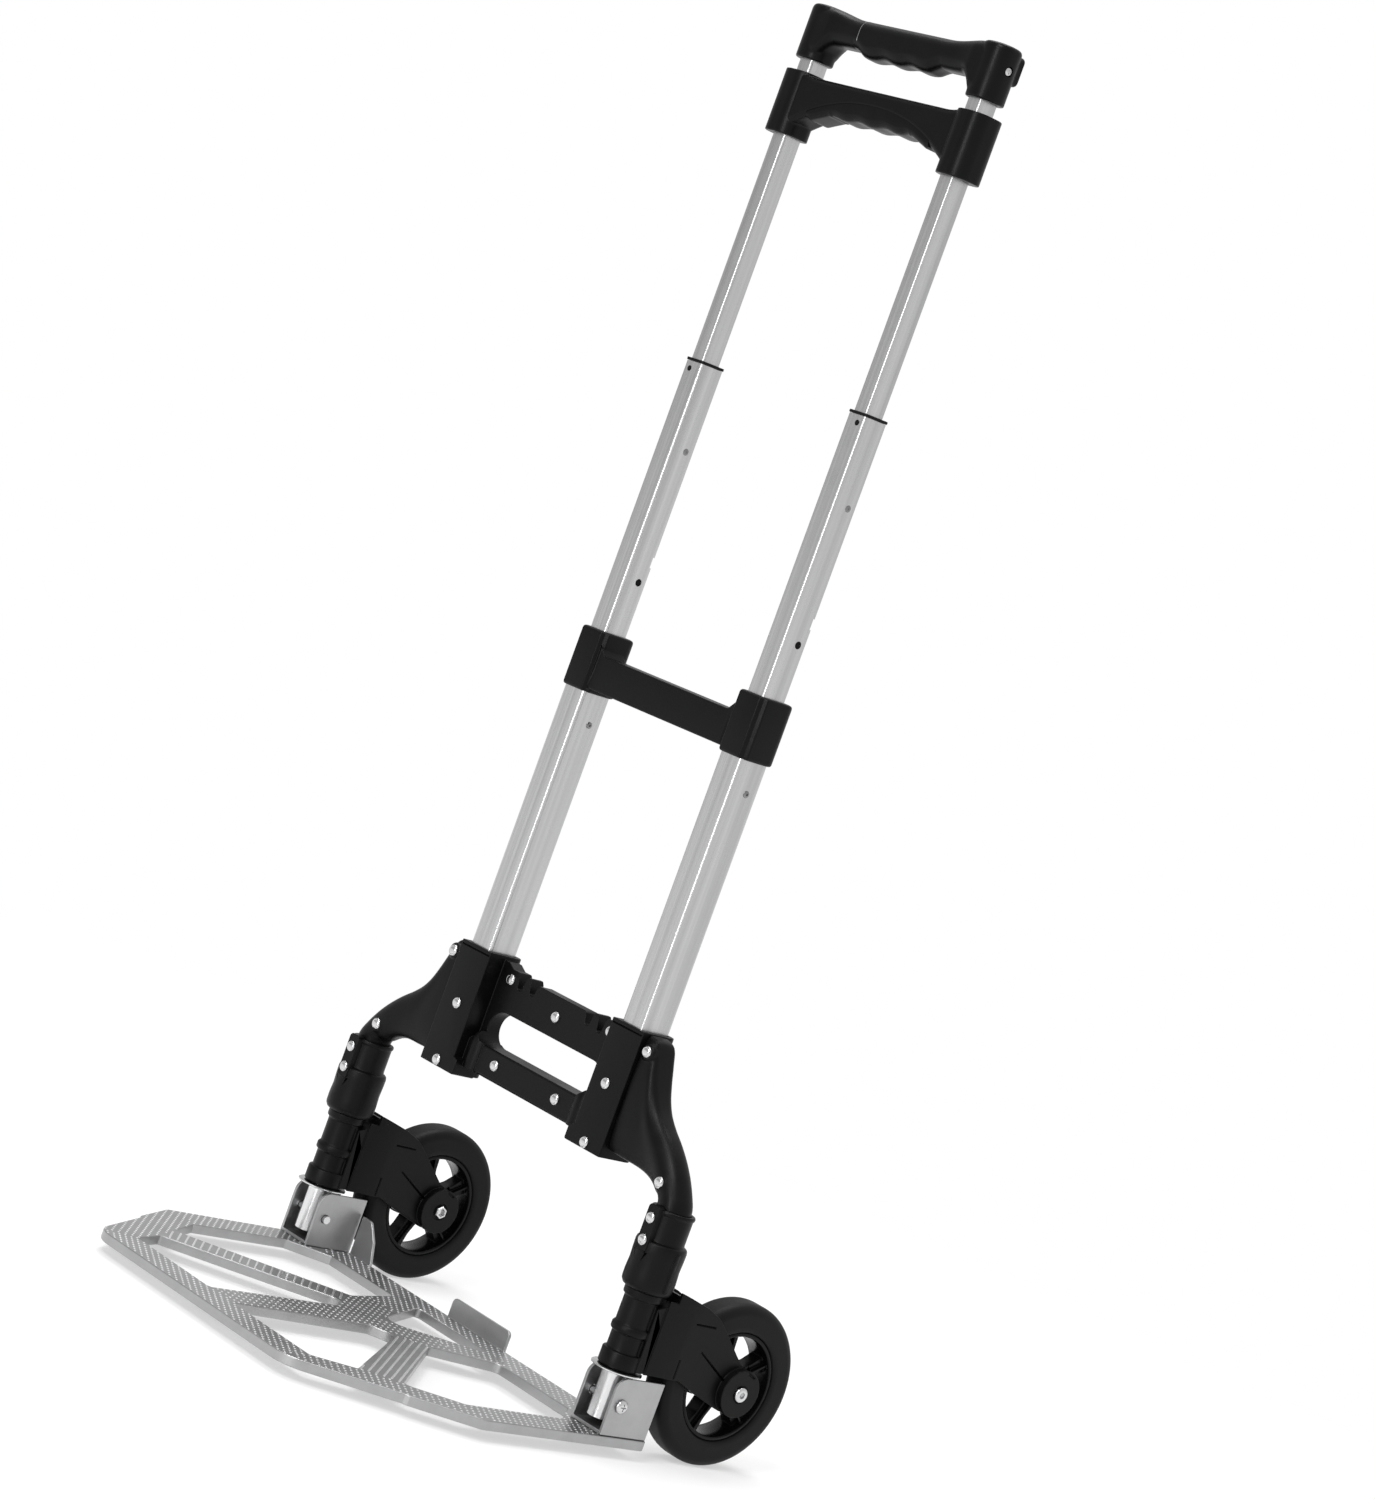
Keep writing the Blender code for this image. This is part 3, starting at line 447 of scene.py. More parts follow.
def revolve(profile, count=72):
    """Turn a closed (radius, z) profile about the Z axis into a ring-shaped body."""
    return rings_body([[(x, y, z) for x, y in circle(radius, count)] for radius, z in profile], closed=True)


def turned(profile, count=40):
    """Turn an open (radius, z) profile about Z into a solid body with flat ends."""
    return rings_body([[(x, y, z) for x, y in circle(radius, count)] for radius, z in profile])


def rod(radius, low, high, count):
    """Round rod about Z with flat ends."""
    return turned([(radius, low), (radius, high)], count)


def along(bm, axis, position=(0.0, 0.0, 0.0)):
    """Swing a body drawn about Z onto another axis and move it to a position."""
    turns = {
        "X": Matrix.Rotation(math.pi / 2.0, 4, "Y"),
        "-X": Matrix.Rotation(-math.pi / 2.0, 4, "Y"),
        "-Y": Matrix.Rotation(math.pi / 2.0, 4, "X"),
    }
    bm.transform(turns[axis])
    bm.transform(Matrix.Translation(position))
    return bm


def merge(first, *others):
    """Add the bodies of several bmeshes to the first one."""
    for other in others:
        mesh = baked("join", other)
        first.from_mesh(mesh)
        bpy.data.meshes.remove(mesh)
    return first


def spun(bm, angle):
    """Turn a body about Z."""
    bm.transform(Matrix.Rotation(angle, 4, "Z"))
    return bm


def at_leg(bm):
    """Move a body drawn round the origin onto the right leg."""
    bm.transform(Matrix.Translation((LEG_X, 0.0, 0.0)))
    return bm


def refined(rows, steps):
    """Rows of numbers with smoothly interpolated rows between them."""
    result = []
    last = len(rows) - 1
    for i in range(last):
        four = [rows[max(i - 1, 0)], rows[i], rows[i + 1], rows[min(i + 2, last)]]
        for k in range(steps):
            t = k / steps
            row = []
            for a, b, c, d in zip(*four):
                row.append(0.5 * (2.0 * b + (c - a) * t + (2.0 * a - 5.0 * b + 4.0 * c - d) * t * t
                                  + (3.0 * b - a - 3.0 * c + d) * t ** 3))
            result.append(row)
    result.append(list(rows[-1]))
    return result


def temporary(bm):
    """Helper object holding a shape while its modifiers are worked out."""
    bmesh.ops.recalc_face_normals(bm, faces=bm.faces)
    return placed("helper", baked("helper", bm))


def settled(obj, helpers=()):
    """Shape of an object after its modifiers; the helper objects are removed."""
    made = bmesh.new()
    made.from_object(obj, bpy.context.evaluated_depsgraph_get())
    for each in (obj, *helpers):
        mesh = each.data
        bpy.data.objects.remove(each)
        bpy.data.meshes.remove(mesh)
    return made


def carve(bm, *steps, merge_flat=True):
    """Add or cut bodies; each step is an operation and a bmesh. merge_flat joins level faces."""
    target = temporary(bm)
    helpers = []
    for operation, tool in steps:
        helpers.append(temporary(tool))
        modifier = target.modifiers.new("carve", "BOOLEAN")
        modifier.operation = operation
        modifier.solver = "EXACT"
        modifier.object = helpers[-1]
    made = settled(target, helpers)
    bmesh.ops.remove_doubles(made, verts=made.verts, dist=1e-3)
    if merge_flat:
        bmesh.ops.dissolve_limit(made, angle_limit=math.radians(0.6), verts=made.verts, edges=made.edges)
    return made


def melt(bm, voxel, rounds):
    """Fuse overlapping bodies into one soft moulded skin."""
    target = temporary(bm)
    remesh = target.modifiers.new("melt", "REMESH")
    remesh.mode = "VOXEL"
    remesh.voxel_size = voxel
    soften = target.modifiers.new("soften", "SMOOTH")
    soften.factor = 0.5
    soften.iterations = rounds
    return settled(target)


def piece(name, bm, slot, body, stands_for=(), side=1, bevel=0.0, sharp=35.0, finish=None):
    """Finish a shape: mirror it for side -1, scale it, shade it, ease its edges and attach it."""
    bmesh.ops.recalc_face_normals(bm, faces=bm.faces)
    if side < 0:
        bm.transform(Matrix.Scale(-1.0, 4, (1.0, 0.0, 0.0)))
        bmesh.ops.reverse_faces(bm, faces=bm.faces)
    bm.transform(Matrix.Translation((0.0, LEG_LINE, 0.0)))
    bm.transform(Matrix.Scale(MM, 4))
    mesh = baked(name, bm)
    mesh.shade_smooth()
    mesh.set_sharp_from_angle(angle=math.radians(sharp))
    obj = placed(name, mesh)
    mesh.materials.append(LOOKS[finish or slot])
    if bevel > 0.0:
        ease = obj.modifiers.new("eased_edges", "BEVEL")
        ease.width = bevel * MM
        ease.segments = 3
        ease.limit_method = "ANGLE"
        ease.angle_limit = math.radians(34.0)
        ease.harden_normals = True
        ease.use_clamp_overlap = False
    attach(obj, body)
    if stands_for:
        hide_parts(*stands_for)
    return obj


def stand(node_name, bm, side=1, bevel=0.0, sharp=35.0):
    """Piece that takes the place of one CAD node, on the same body and with the same finish."""
    body = frame["nodes"][node_name]["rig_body"]
    slot = SLOT_OF[node_name]
    return piece(node_name + "_shown", bm, slot, body, [node_name], side, bevel, sharp)


SIDES = ((1, "right"), (-1, "left"))

# ---------------------------------------------------------------- sizes shared with the CAD part

GAP = 0.3


def z_range(name):
    """Lowest and highest z of a CAD node."""
    return tuple(corner.z for corner in node_box(name))


def post_size(name, wall):
    """Width, front, back and wall thickness of a handle-post tube."""
    low, high = node_box(name)
    return high.x - low.x, low.y, high.y, wall


POST_X = sum(corner.x for corner in node_box("outer_tube_right")) / 2.0
OUTER_POST = post_size("outer_tube_right", 1.5)
MIDDLE_POST = post_size("middle_tube_right", 1.2)
INNER_POST = post_size("inner_tube_right", 1.1)
OUTER_Z = z_range("outer_tube_right")
MIDDLE_Z = z_range("middle_tube_right")
INNER_Z = z_range("inner_tube_right")
_low, _high = node_box("tyre_right")
AXLE_Y = (_low.y + _high.y) / 2.0
WHEEL_RADIUS = (_high.z - _low.z) / 2.0
WASHER_Z = z_range("leg_washer_right")
HINGE_Z = sum(z_range("hinge_bolt_right")) / 2.0
PLATE_TOP = node_box("hinge_bracket_right")[0].z - GAP
PLATE_DEPTH = PLATE_TOP - node_box("toe_plate")[0].z
PLATE_REAR = node_box("toe_plate")[1].y
FRAME_BOTTOM, FRAME_TOP = z_range("crossbar")
BRIDGE_Z = z_range("bridge")
RELEASE_Z = z_range("release_grip")
GRIP_Z = z_range("top_grip")

SCREW_Y = 3.8
BLOCK_INNER = 70.9
BLOCK_OUTER = 105.2
BLOCK_FRONT = -15.0
BLOCK_BACK = 18.4
BAR_FRONT = -6.6
SLOT_HALF = 64.0
SLOT_Z = 224.5
SLOT_RADIUS = 13.0
RIM_RADIUS = 40.0
HUB_HALF = 13.5
TYRE_HALF = 12.5
CHEEK_INNER = 14.2
CHEEK_OUTER = 18.8
BOSS_OUTER = 24.6
BOSS_RADIUS = 17.3
LOCK_HOLE_Z = 559.5
ARM_RIVETS = {"upper": (112.6, -12.8, 263.0), "lower": (166.5, -12.2, 187.5)}
FINGER_PITCH = 27.6

# ---------------------------------------------------------------- rivets and screws


def rivet_body(seat, head=4.3, height=2.0, shank=3.0):
    """Domed rivet facing the front: a rolled rim, a shallow ring and a raised middle."""
    profile = [(2.1, -shank), (2.1, 0.1), (head - 0.1, 0.1), (head, 0.5), (head - 0.25, 0.95),
               (head - 0.7, height * 0.72), (head - 1.15, height * 0.86), (head - 1.5, height * 0.80),
               (head - 1.8, height * 0.86), (1.3, height * 0.97), (0.6, height)]
    return along(turned(profile, 32), "-Y", seat)


def crossed(bm, radius, depth, top):
    """Cut the crossed slots of a screw head drawn about Z."""
    for angle in (0.0, math.pi / 2.0):
        slot = spun(prism(rectangle(-radius, radius, -0.42, 0.42), top - depth, top + 1.0), angle)
        bm = carve(bm, (CUT, slot))
    return bm


def frame_rivets():
    """Rivets through the post blocks, the crossbar, the arms and the clamps."""
    small = (4.1, 1.9)
    for side, label in SIDES:
        for name, (x, y, z), size in (("frame_rivet_upper_", (87.0, BLOCK_FRONT, 230.5), ()),
                                      ("frame_rivet_lower_", (87.0, BLOCK_FRONT, 187.0), ()),
                                      ("bar_rivet_lower_", (35.5, BAR_FRONT, 201.5), ()),
                                      ("arm_rivet_upper_", ARM_RIVETS["upper"], ()),
                                      ("arm_rivet_lower_", ARM_RIVETS["lower"], ()),
                                      ("clamp_rivet_upper_", (LEG_X, -18.8, 165.0), small),
                                      ("clamp_rivet_lower_", (LEG_X, -18.8, 149.3), small)):
            stand(name + label, rivet_body((side * x, y, z), *size), sharp=50.0)
    for name, x, z in (("middle", 0.0, 252.0), ("upper_right", 57.7, 261.0), ("upper_left", -57.7, 261.0)):
        body = rivet_body((x, 0.2, z), shank=2.0)
        piece("bar_rivet_" + name, body, "steel", "frame", sharp=50.0)


# ---------------------------------------------------------------- wheels and forks


def wheel(side, label):
    """Deep black rim with five ribbed spokes, a thick matt tyre and the hub bushing."""
    centre = (LEG_X, AXLE_Y, WHEEL_RADIUS)
    rim = RIM_RADIUS
    barrel = [(rim, -10.8), (rim, 10.8), (39.2, 11.2), (37.6, 11.2), (37.0, 10.4), (36.6, 3.0), (36.4, 0.0),
              (36.6, -3.0), (37.0, -10.4), (37.6, -11.2), (39.2, -11.2)]
    hub = turned([(9.0, -HUB_HALF), (11.8, -HUB_HALF), (12.8, -HUB_HALF + 0.8), (13.6, -9.0), (13.6, 9.0),
                  (12.8, HUB_HALF - 0.8), (11.8, HUB_HALF), (9.0, HUB_HALF)], 56)
    steps = []
    for k in range(5):
        angle = math.radians(48.0 + 72.0 * k)
        web = rounded([(10.0, -5.6), (26.0, -4.6), (38.0, -6.4), (38.0, 6.4), (26.0, 4.6), (10.0, 5.6)],
                      [0, 12, 0, 0, 12, 0], 6)
        rib = rectangle(11.0, 37.4, -0.9, 0.9)
        for outline, half in ((web, 5.6), (rib, 8.8)):
            steps.append((ADD, along(spun(prism(outline, -half, half), angle), "X")))
    body = carve(along(revolve(barrel, 96), "X"), (ADD, along(hub, "X")), *steps,
                 (CUT, along(rod(5.3, -20.0, 20.0, 32), "X")))
    body.transform(Matrix.Translation(centre))
    stand("rim_" + label, body, side, bevel=0.45)

    half = [(rim + GAP, 11.2), (41.0, 12.0), (42.4, TYRE_HALF), (45.0, TYRE_HALF), (52.4, TYRE_HALF)]
    half += [(radius, x) for radius, x in arc(52.6, 5.1, 7.4, 84.0, 0.0, 10)]
    half += [(60.0, 2.2)]
    profile = [(radius, -x) for radius, x in half] + [(radius, x) for radius, x in reversed(half)]
    stand("tyre_" + label, along(revolve(profile, 128), "X", centre), side, sharp=60.0)

    sleeve = [(5.0, 0.2 - HUB_HALF), (5.0, HUB_HALF - 0.2), (3.3, HUB_HALF - 0.2), (3.3, 0.2 - HUB_HALF)]
    stand("wheel_bushing_" + label, along(revolve(sleeve, 32), "X", centre), side)


def fork(side, label):
    """Moulded fork: stepped hub on the leg, a neck, two cheeks with scored lines, and the axle bosses."""
    hub = [(7.0, 59.6), (13.4, 59.6), (14.4, 60.4), (14.4, 70.4), (13.9, 71.2), (12.4, 71.6), (12.2, 73.0),
           (12.2, 83.6), (13.5, 84.4), (14.0, 85.2), (14.0, 88.6), (13.4, 89.6), (12.5, 90.4), (12.4, 92.0),
           (12.4, 109.0), (13.8, 110.2), (14.1, 111.0), (14.1, 115.4), (7.0, 115.4)]
    outline = rounded([(12.0, 61.0), (42.0, 61.0), (60.0, 54.0), (92.0, 43.4), (116.5, 52.0), (114.0, 71.0),
                       (95.0, 79.5), (70.0, 101.0), (60.0, 109.0), (46.0, 114.8), (28.0, 119.5),
                       (19.4, 121.5), (19.4, 114.0), (12.0, 114.0)],
                      [0, 8, 0, 14, 14, 10, 0, 12, 8, 10, 0, 1, 0, 0], 5)
    hub_place = (0.0, AXLE_Y, WHEEL_RADIUS)
    steps = []
    for low, high in ((CHEEK_INNER, CHEEK_OUTER), (-CHEEK_OUTER, -CHEEK_INNER)):
        steps.append((ADD, prism(outline, low, high, "X")))
    neck = rounded([(4.0, 60.9), (32.0, 60.9), (33.5, 84.0), (40.0, 98.0), (50.0, 108.0), (46.0, 112.6),
                    (28.0, 117.3), (19.4, 119.0), (19.4, 112.0), (4.0, 107.0)],
                   [0, 2, 3, 3, 2, 2, 0, 0, 0, 0], 3)
    steps.append((ADD, prism(neck, -CHEEK_INNER - 0.4, CHEEK_INNER + 0.4, "X")))
    for sign in (1.0, -1.0):
        flare = [(sign * 19.2, 36.0), (sign * 15.0, 6.0), (sign * 30.0, 6.0), (sign * 30.0, 36.0)]
        steps.append((CUT, prism(flare, 40.0, 130.0)))
    for inner, outer in ((CHEEK_OUTER - 1.0, BOSS_OUTER), (1.0 - CHEEK_OUTER, -BOSS_OUTER)):
        steps.append((ADD, along(rod(BOSS_RADIUS, inner, outer, 64), "X", hub_place)))
    lines = [((40.0, 102.5), (59.0, 102.0)), ((54.0, 83.5), (84.5, 66.0)), ((36.5, 62.0), (36.5, 76.0))]
    for start, end in lines:
        for low in (CHEEK_OUTER - 0.7, -CHEEK_OUTER - 1.0):
            steps.append((CUT, prism(strip(start, end, 1.0), low, low + 1.7, "X")))
    for low in (BOSS_OUTER - 1.2, -BOSS_OUTER - 1.0):
        notch = strip((AXLE_Y + 1.5, WHEEL_RADIUS + 15.5), (AXLE_Y + 8.5, WHEEL_RADIUS + 12.6), 1.3)
        steps.append((CUT, prism(notch, low, low + 2.2, "X")))
        steps.append((CUT, along(rod(6.4, low, low + 2.2, 40), "X", hub_place)))
    steps.append((CUT, rod(LEG_RADIUS + GAP, 40.0, 130.0, 64)))
    steps.append((CUT, along(rod(3.3, -40.0, 40.0, 24), "X", hub_place)))
    stand("fork_" + label, at_leg(carve(revolve(hub, 64), *steps)), side, bevel=0.55)

    seat = BOSS_OUTER - 1.2
    bolt = turned([(3.0, -seat - 1.0), (3.0, seat), (5.2, seat), (5.5, seat + 0.3), (5.5, seat + 2.2),
                   (5.1, seat + 2.9), (4.4, seat + 3.3), (3.4, seat + 3.4)], 40)
    socket = turned([(2.5, seat + 0.8), (2.5, seat + 5.0)], 6)
    bolt = carve(bolt, (CUT, socket))
    stand("axle_bolt_" + label, along(bolt, "X", (LEG_X, AXLE_Y, WHEEL_RADIUS)), side, bevel=0.2)
    nut = revolve([(3.3, -seat - 3.4), (4.6, -seat - 3.4), (5.4, -seat - 2.2), (5.4, -seat), (3.3, -seat)], 6)
    stand("axle_nut_" + label, along(nut, "X", (LEG_X, AXLE_Y, WHEEL_RADIUS)), side, bevel=0.2)


# ---------------------------------------------------------------- legs, clamps and brackets


def leg(side, label):
    """Leg tube, bright washer, and two-step clamp with its rivet flange."""
    bottom = node_box("leg_tube_right")[0].z
    tube = revolve([(7.4, bottom), (LEG_RADIUS - 0.4, bottom), (LEG_RADIUS, bottom + 0.4),
                    (LEG_RADIUS, 150.0), (7.4, 150.0)], 64)
    stand("leg_tube_" + label, at_leg(tube), side)
    low, high = WASHER_Z
    washer = revolve([(LEG_RADIUS + GAP, low), (17.6, low), (18.3, low + 0.4), (18.3, high - 0.4),
                      (17.6, high), (LEG_RADIUS + GAP, high)], 72)
    stand("leg_washer_" + label, at_leg(washer), side, sharp=60.0)

    foot = 115.8
    profile = [(LEG_RADIUS + GAP, foot), (15.8, foot), (16.6, foot + 0.4), (18.0, 118.4), (18.3, 120.0),
               (18.4, 126.0), (17.9, 134.0), (18.3, 142.0), (18.4, 147.6), (17.9, 149.6), (16.6, 150.6),
               (15.2, 151.0), (15.0, 153.0), (15.0, 169.6), (15.7, 170.4), (15.9, 171.6), (15.4, 172.9),
               (14.6, 173.0), (12.9, 173.0), (12.9, 150.2), (LEG_RADIUS + GAP, 150.2)]
    flange = rounded([(-5.6, 142.0), (5.6, 142.0), (5.6, 174.4), (-5.6, 174.4)], [2, 2, 3, 3], 5)
    rib = rectangle(14.0, 19.0, -1.6, 1.6, 1.2, 4)
    body = carve(revolve(profile, 72), (ADD, prism(flange, -18.8, -13.2, "Y")),
                 (ADD, prism(rib, 119.5, 147.0)))
    stand("arm_clamp_" + label, at_leg(body), side, bevel=0.5)


def bracket(side, label):
    """U-shaped hinge bracket with a screw through its cheeks and the fold block behind the leg."""
    low, high = node_box("hinge_bracket_right")
    inner = (high.x - low.x) / 2.0 - 2.4
    shape = rounded([(low.y, low.z), (high.y, low.z), (high.y, high.z), (low.y, high.z)], [0, 0, 0, 9.0], 8)
    channel = prism(rectangle(-inner, inner, low.z + 2.4, high.z + 9.0), -60.0, 60.0, "Y")
    hole = along(rod(3.3, -30.0, 30.0, 24), "X", (0.0, 0.0, HINGE_Z))
    body = carve(prism(shape, -inner - 2.4, inner + 2.4, "X"), (CUT, channel), (CUT, hole))
    stand("hinge_bracket_" + label, at_leg(body), side, bevel=0.45)

    face = inner + 2.4 + GAP
    bolt = turned([(3.0, -face - 2.6), (3.0, face), (4.6, face), (5.0, face + 0.3), (5.0, face + 1.1),
                   (4.5, face + 2.0), (3.4, face + 2.6), (1.8, face + 2.9)], 40)
    bolt = along(crossed(bolt, 2.6, 1.5, face + 2.9), "X", (LEG_X, 0.0, HINGE_Z))
    stand("hinge_bolt_" + label, bolt, side, bevel=0.12)

    base = low.z + 2.7
    wedge = rounded([(17.4, base), (31.0, base), (31.0, base + 21.3), (27.0, base + 28.3),
                     (19.0, base + 28.3), (17.4, base + 24.3)], [1, 1, 3, 2, 1, 1], 4)
    stand("fold_cam_" + label, prism(wedge, LEG_X - 9.0, LEG_X + 9.0, "X"), side, bevel=0.6)


# ---------------------------------------------------------------- arms and crossbar

# Arm outline from the post block to the leg: outer x, z, inner x, z, half depth, roll
ARM_ROWS = [(105.5, 274.2, 105.5, 189.0, 11.8, 0.0),
            (115.0, 271.4, 111.0, 188.6, 11.8, 0.2),
            (119.5, 262.0, 117.0, 188.3, 11.7, 0.4),
            (124.0, 250.5, 123.5, 188.0, 11.4, 0.8),
            (129.0, 240.0, 130.0, 187.8, 11.0, 1.2),
            (136.0, 230.5, 137.0, 187.3, 10.8, 1.4),
            (145.5, 222.5, 143.5, 186.2, 10.8, 1.4),
            (156.5, 215.0, 149.5, 184.4, 11.2, 1.1),
            (167.5, 206.0, 155.0, 181.6, 11.7, 0.8),
            (177.0, 196.0, 159.5, 178.4, 12.1, 0.4),
            (183.8, 186.0, 162.6, 177.4, 12.4, 0.0),
            (188.4, 177.5, 164.5, 174.2, 12.5, 0.0),
            (189.5, 169.0, 164.5, 168.0, 12.5, 0.0),
            (189.5, 150.8, 164.5, 150.8, 12.5, 0.0)]


def arm_ring(outer_x, outer_z, inner_x, inner_z, half, roll):
    """Flattened round section across the arm, thicker by roll near its outer edge."""
    start = Vector((outer_x, 0.0, outer_z))
    run = Vector((inner_x, 0.0, inner_z)) - start
    length = run.length
    flatness = min(1.0, (2.0 * half / length) ** 1.2)
    front = []
    count = 28
    for k in range(count + 1):
        angle = math.pi * k / count
        reach = length / 2.0 * (1.0 - math.cos(angle))
        lift = roll * math.exp(-((reach - half) / (0.9 * half)) ** 2)
        front.append((reach / length, (half + lift) * max(0.0, math.sin(angle)) ** flatness))
    ring = [start + run * share - Vector((0.0, depth, 0.0)) for share, depth in front]
    back = [start + run * share + Vector((0.0, depth, 0.0)) for share, depth in front[1:-1]]
    return ring + list(reversed(back))


def arm(side, label):
    """Flowing arm from a post block down to a leg, with round seats under its rivets."""
    body = rings_body([arm_ring(*row) for row in refined(ARM_ROWS, 5)])
    for x, y, z in ARM_RIVETS.values():
        pad = along(turned([(6.4, -8.0), (6.2, -y - 1.4), (5.4, -y - 0.3), (4.9, -y)], 40), "-Y", (x, 0.0, z))
        body = merge(body, pad)
    stand("arm_" + label, melt(body, 0.6, 6), side, sharp=180.0)


def post_outline(post, offset=0.0, steps=8):
    """Handle-post section grown by an offset: flat front and sides, wider corners at the back."""
    width, front, back, _ = post
    half = width / 2.0 + offset
    corners = [(-half, front - offset), (half, front - offset), (half, back + offset), (-half, back + offset)]
    tight = max(0.6, 0.6 + 0.125 * width + offset)
    wide = max(0.6, 0.21 * width + offset)
    return moved(rounded(corners, [tight, tight, wide, wide], steps), POST_X, 0.0)


def mirrored(bm):
    """Copy of a shape mirrored to the left side."""
    other = bm.copy()
    other.transform(Matrix.Scale(-1.0, 4, (1.0, 0.0, 0.0)))
    bmesh.ops.reverse_faces(other, faces=other.faces)
    return other


def both(operation, bm):
    """The same carving step on the right and on the left."""
    return [(operation, mirrored(bm)), (operation, bm)]


def crossbar():
    """Moulded crossbar: a block round each post, a slotted web with cord notches and a thick lower bar."""
    block = rounded([(BLOCK_INNER, BLOCK_FRONT), (BLOCK_OUTER, BLOCK_FRONT), (BLOCK_OUTER, BLOCK_BACK),
                     (BLOCK_INNER, BLOCK_BACK)], [1.0, 1.0, 6.8, 6.8], 6)
    edge = BLOCK_INNER + 6.0
    web = [(-edge, 190.0), (edge, 190.0), (edge, 272.0), (65.5, 272.0), (59.0, 268.6), (51.6, 268.6),
           (49.8, 266.4), (48.6, 257.6), (47.6, 256.6), (44.8, 256.6), (43.8, 257.6), (42.4, 266.4),
           (40.8, 268.4), (37.8, 268.4), (36.0, 266.0), (34.6, 258.4), (33.6, 257.4), (30.8, 257.4),
           (29.8, 258.4), (28.2, 265.4), (26.4, 266.5)]
    web += [(-x, z) for x, z in reversed(web[2:])]
    slot = arc(SLOT_HALF - SLOT_RADIUS, SLOT_Z, SLOT_RADIUS, -90.0, 90.0, 20)
    slot += arc(SLOT_RADIUS - SLOT_HALF, SLOT_Z, SLOT_RADIUS, 90.0, 270.0, 20)
    lip = [(BAR_FRONT, 191.6), (BAR_FRONT + 1.6, 190.0), (13.4, 190.0), (13.4, SLOT_Z - 11.5),
           (BAR_FRONT + 3.0, SLOT_Z - 11.5), (BAR_FRONT, SLOT_Z - 14.0)]
    bulge = turned([(8.6, 190.4), (8.6, 210.0), (8.0, 214.0), (6.4, 217.4), (3.4, 219.6)], 48)
    bulge.transform(Matrix.Translation((61.0, -1.6, 0.0)))
    tab = rounded([(66.0, FRAME_BOTTOM), (76.0, FRAME_BOTTOM), (76.0, 196.0), (66.0, 194.0)],
                  [1.5, 0, 0, 3], 4)
    groove = prism(rectangle(BLOCK_INNER - 3.0, BLOCK_OUTER + 3.0, 271.2, 271.8), BLOCK_FRONT - 1.0,
                   BLOCK_FRONT + 0.5, "Y")
    pocket = prism(post_outline(OUTER_POST, GAP), FRAME_BOTTOM - 10.0, FRAME_TOP + 10.0)
    rear = prism(rectangle(-52.0, 52.0, 196.0, 206.0, 3.0), 9.0, 20.0, "Y")
    right = prism(block, FRAME_BOTTOM, FRAME_TOP)
    left = mirrored(right)
    body = carve(right, (ADD, left), (ADD, prism(web, 0.2, 12.4, "Y")),
                 (ADD, prism(lip, -edge, edge, "X")), *both(ADD, bulge),
                 *both(ADD, prism(tab, BLOCK_FRONT, 6.0, "Y")),
                 (CUT, prism(slot, -30.0, 30.0, "Y")), (CUT, rear),
                 *both(CUT, pocket), *both(CUT, groove))
    stand("crossbar", body, bevel=0.6)


# ---------------------------------------------------------------- posts, bridge and grips


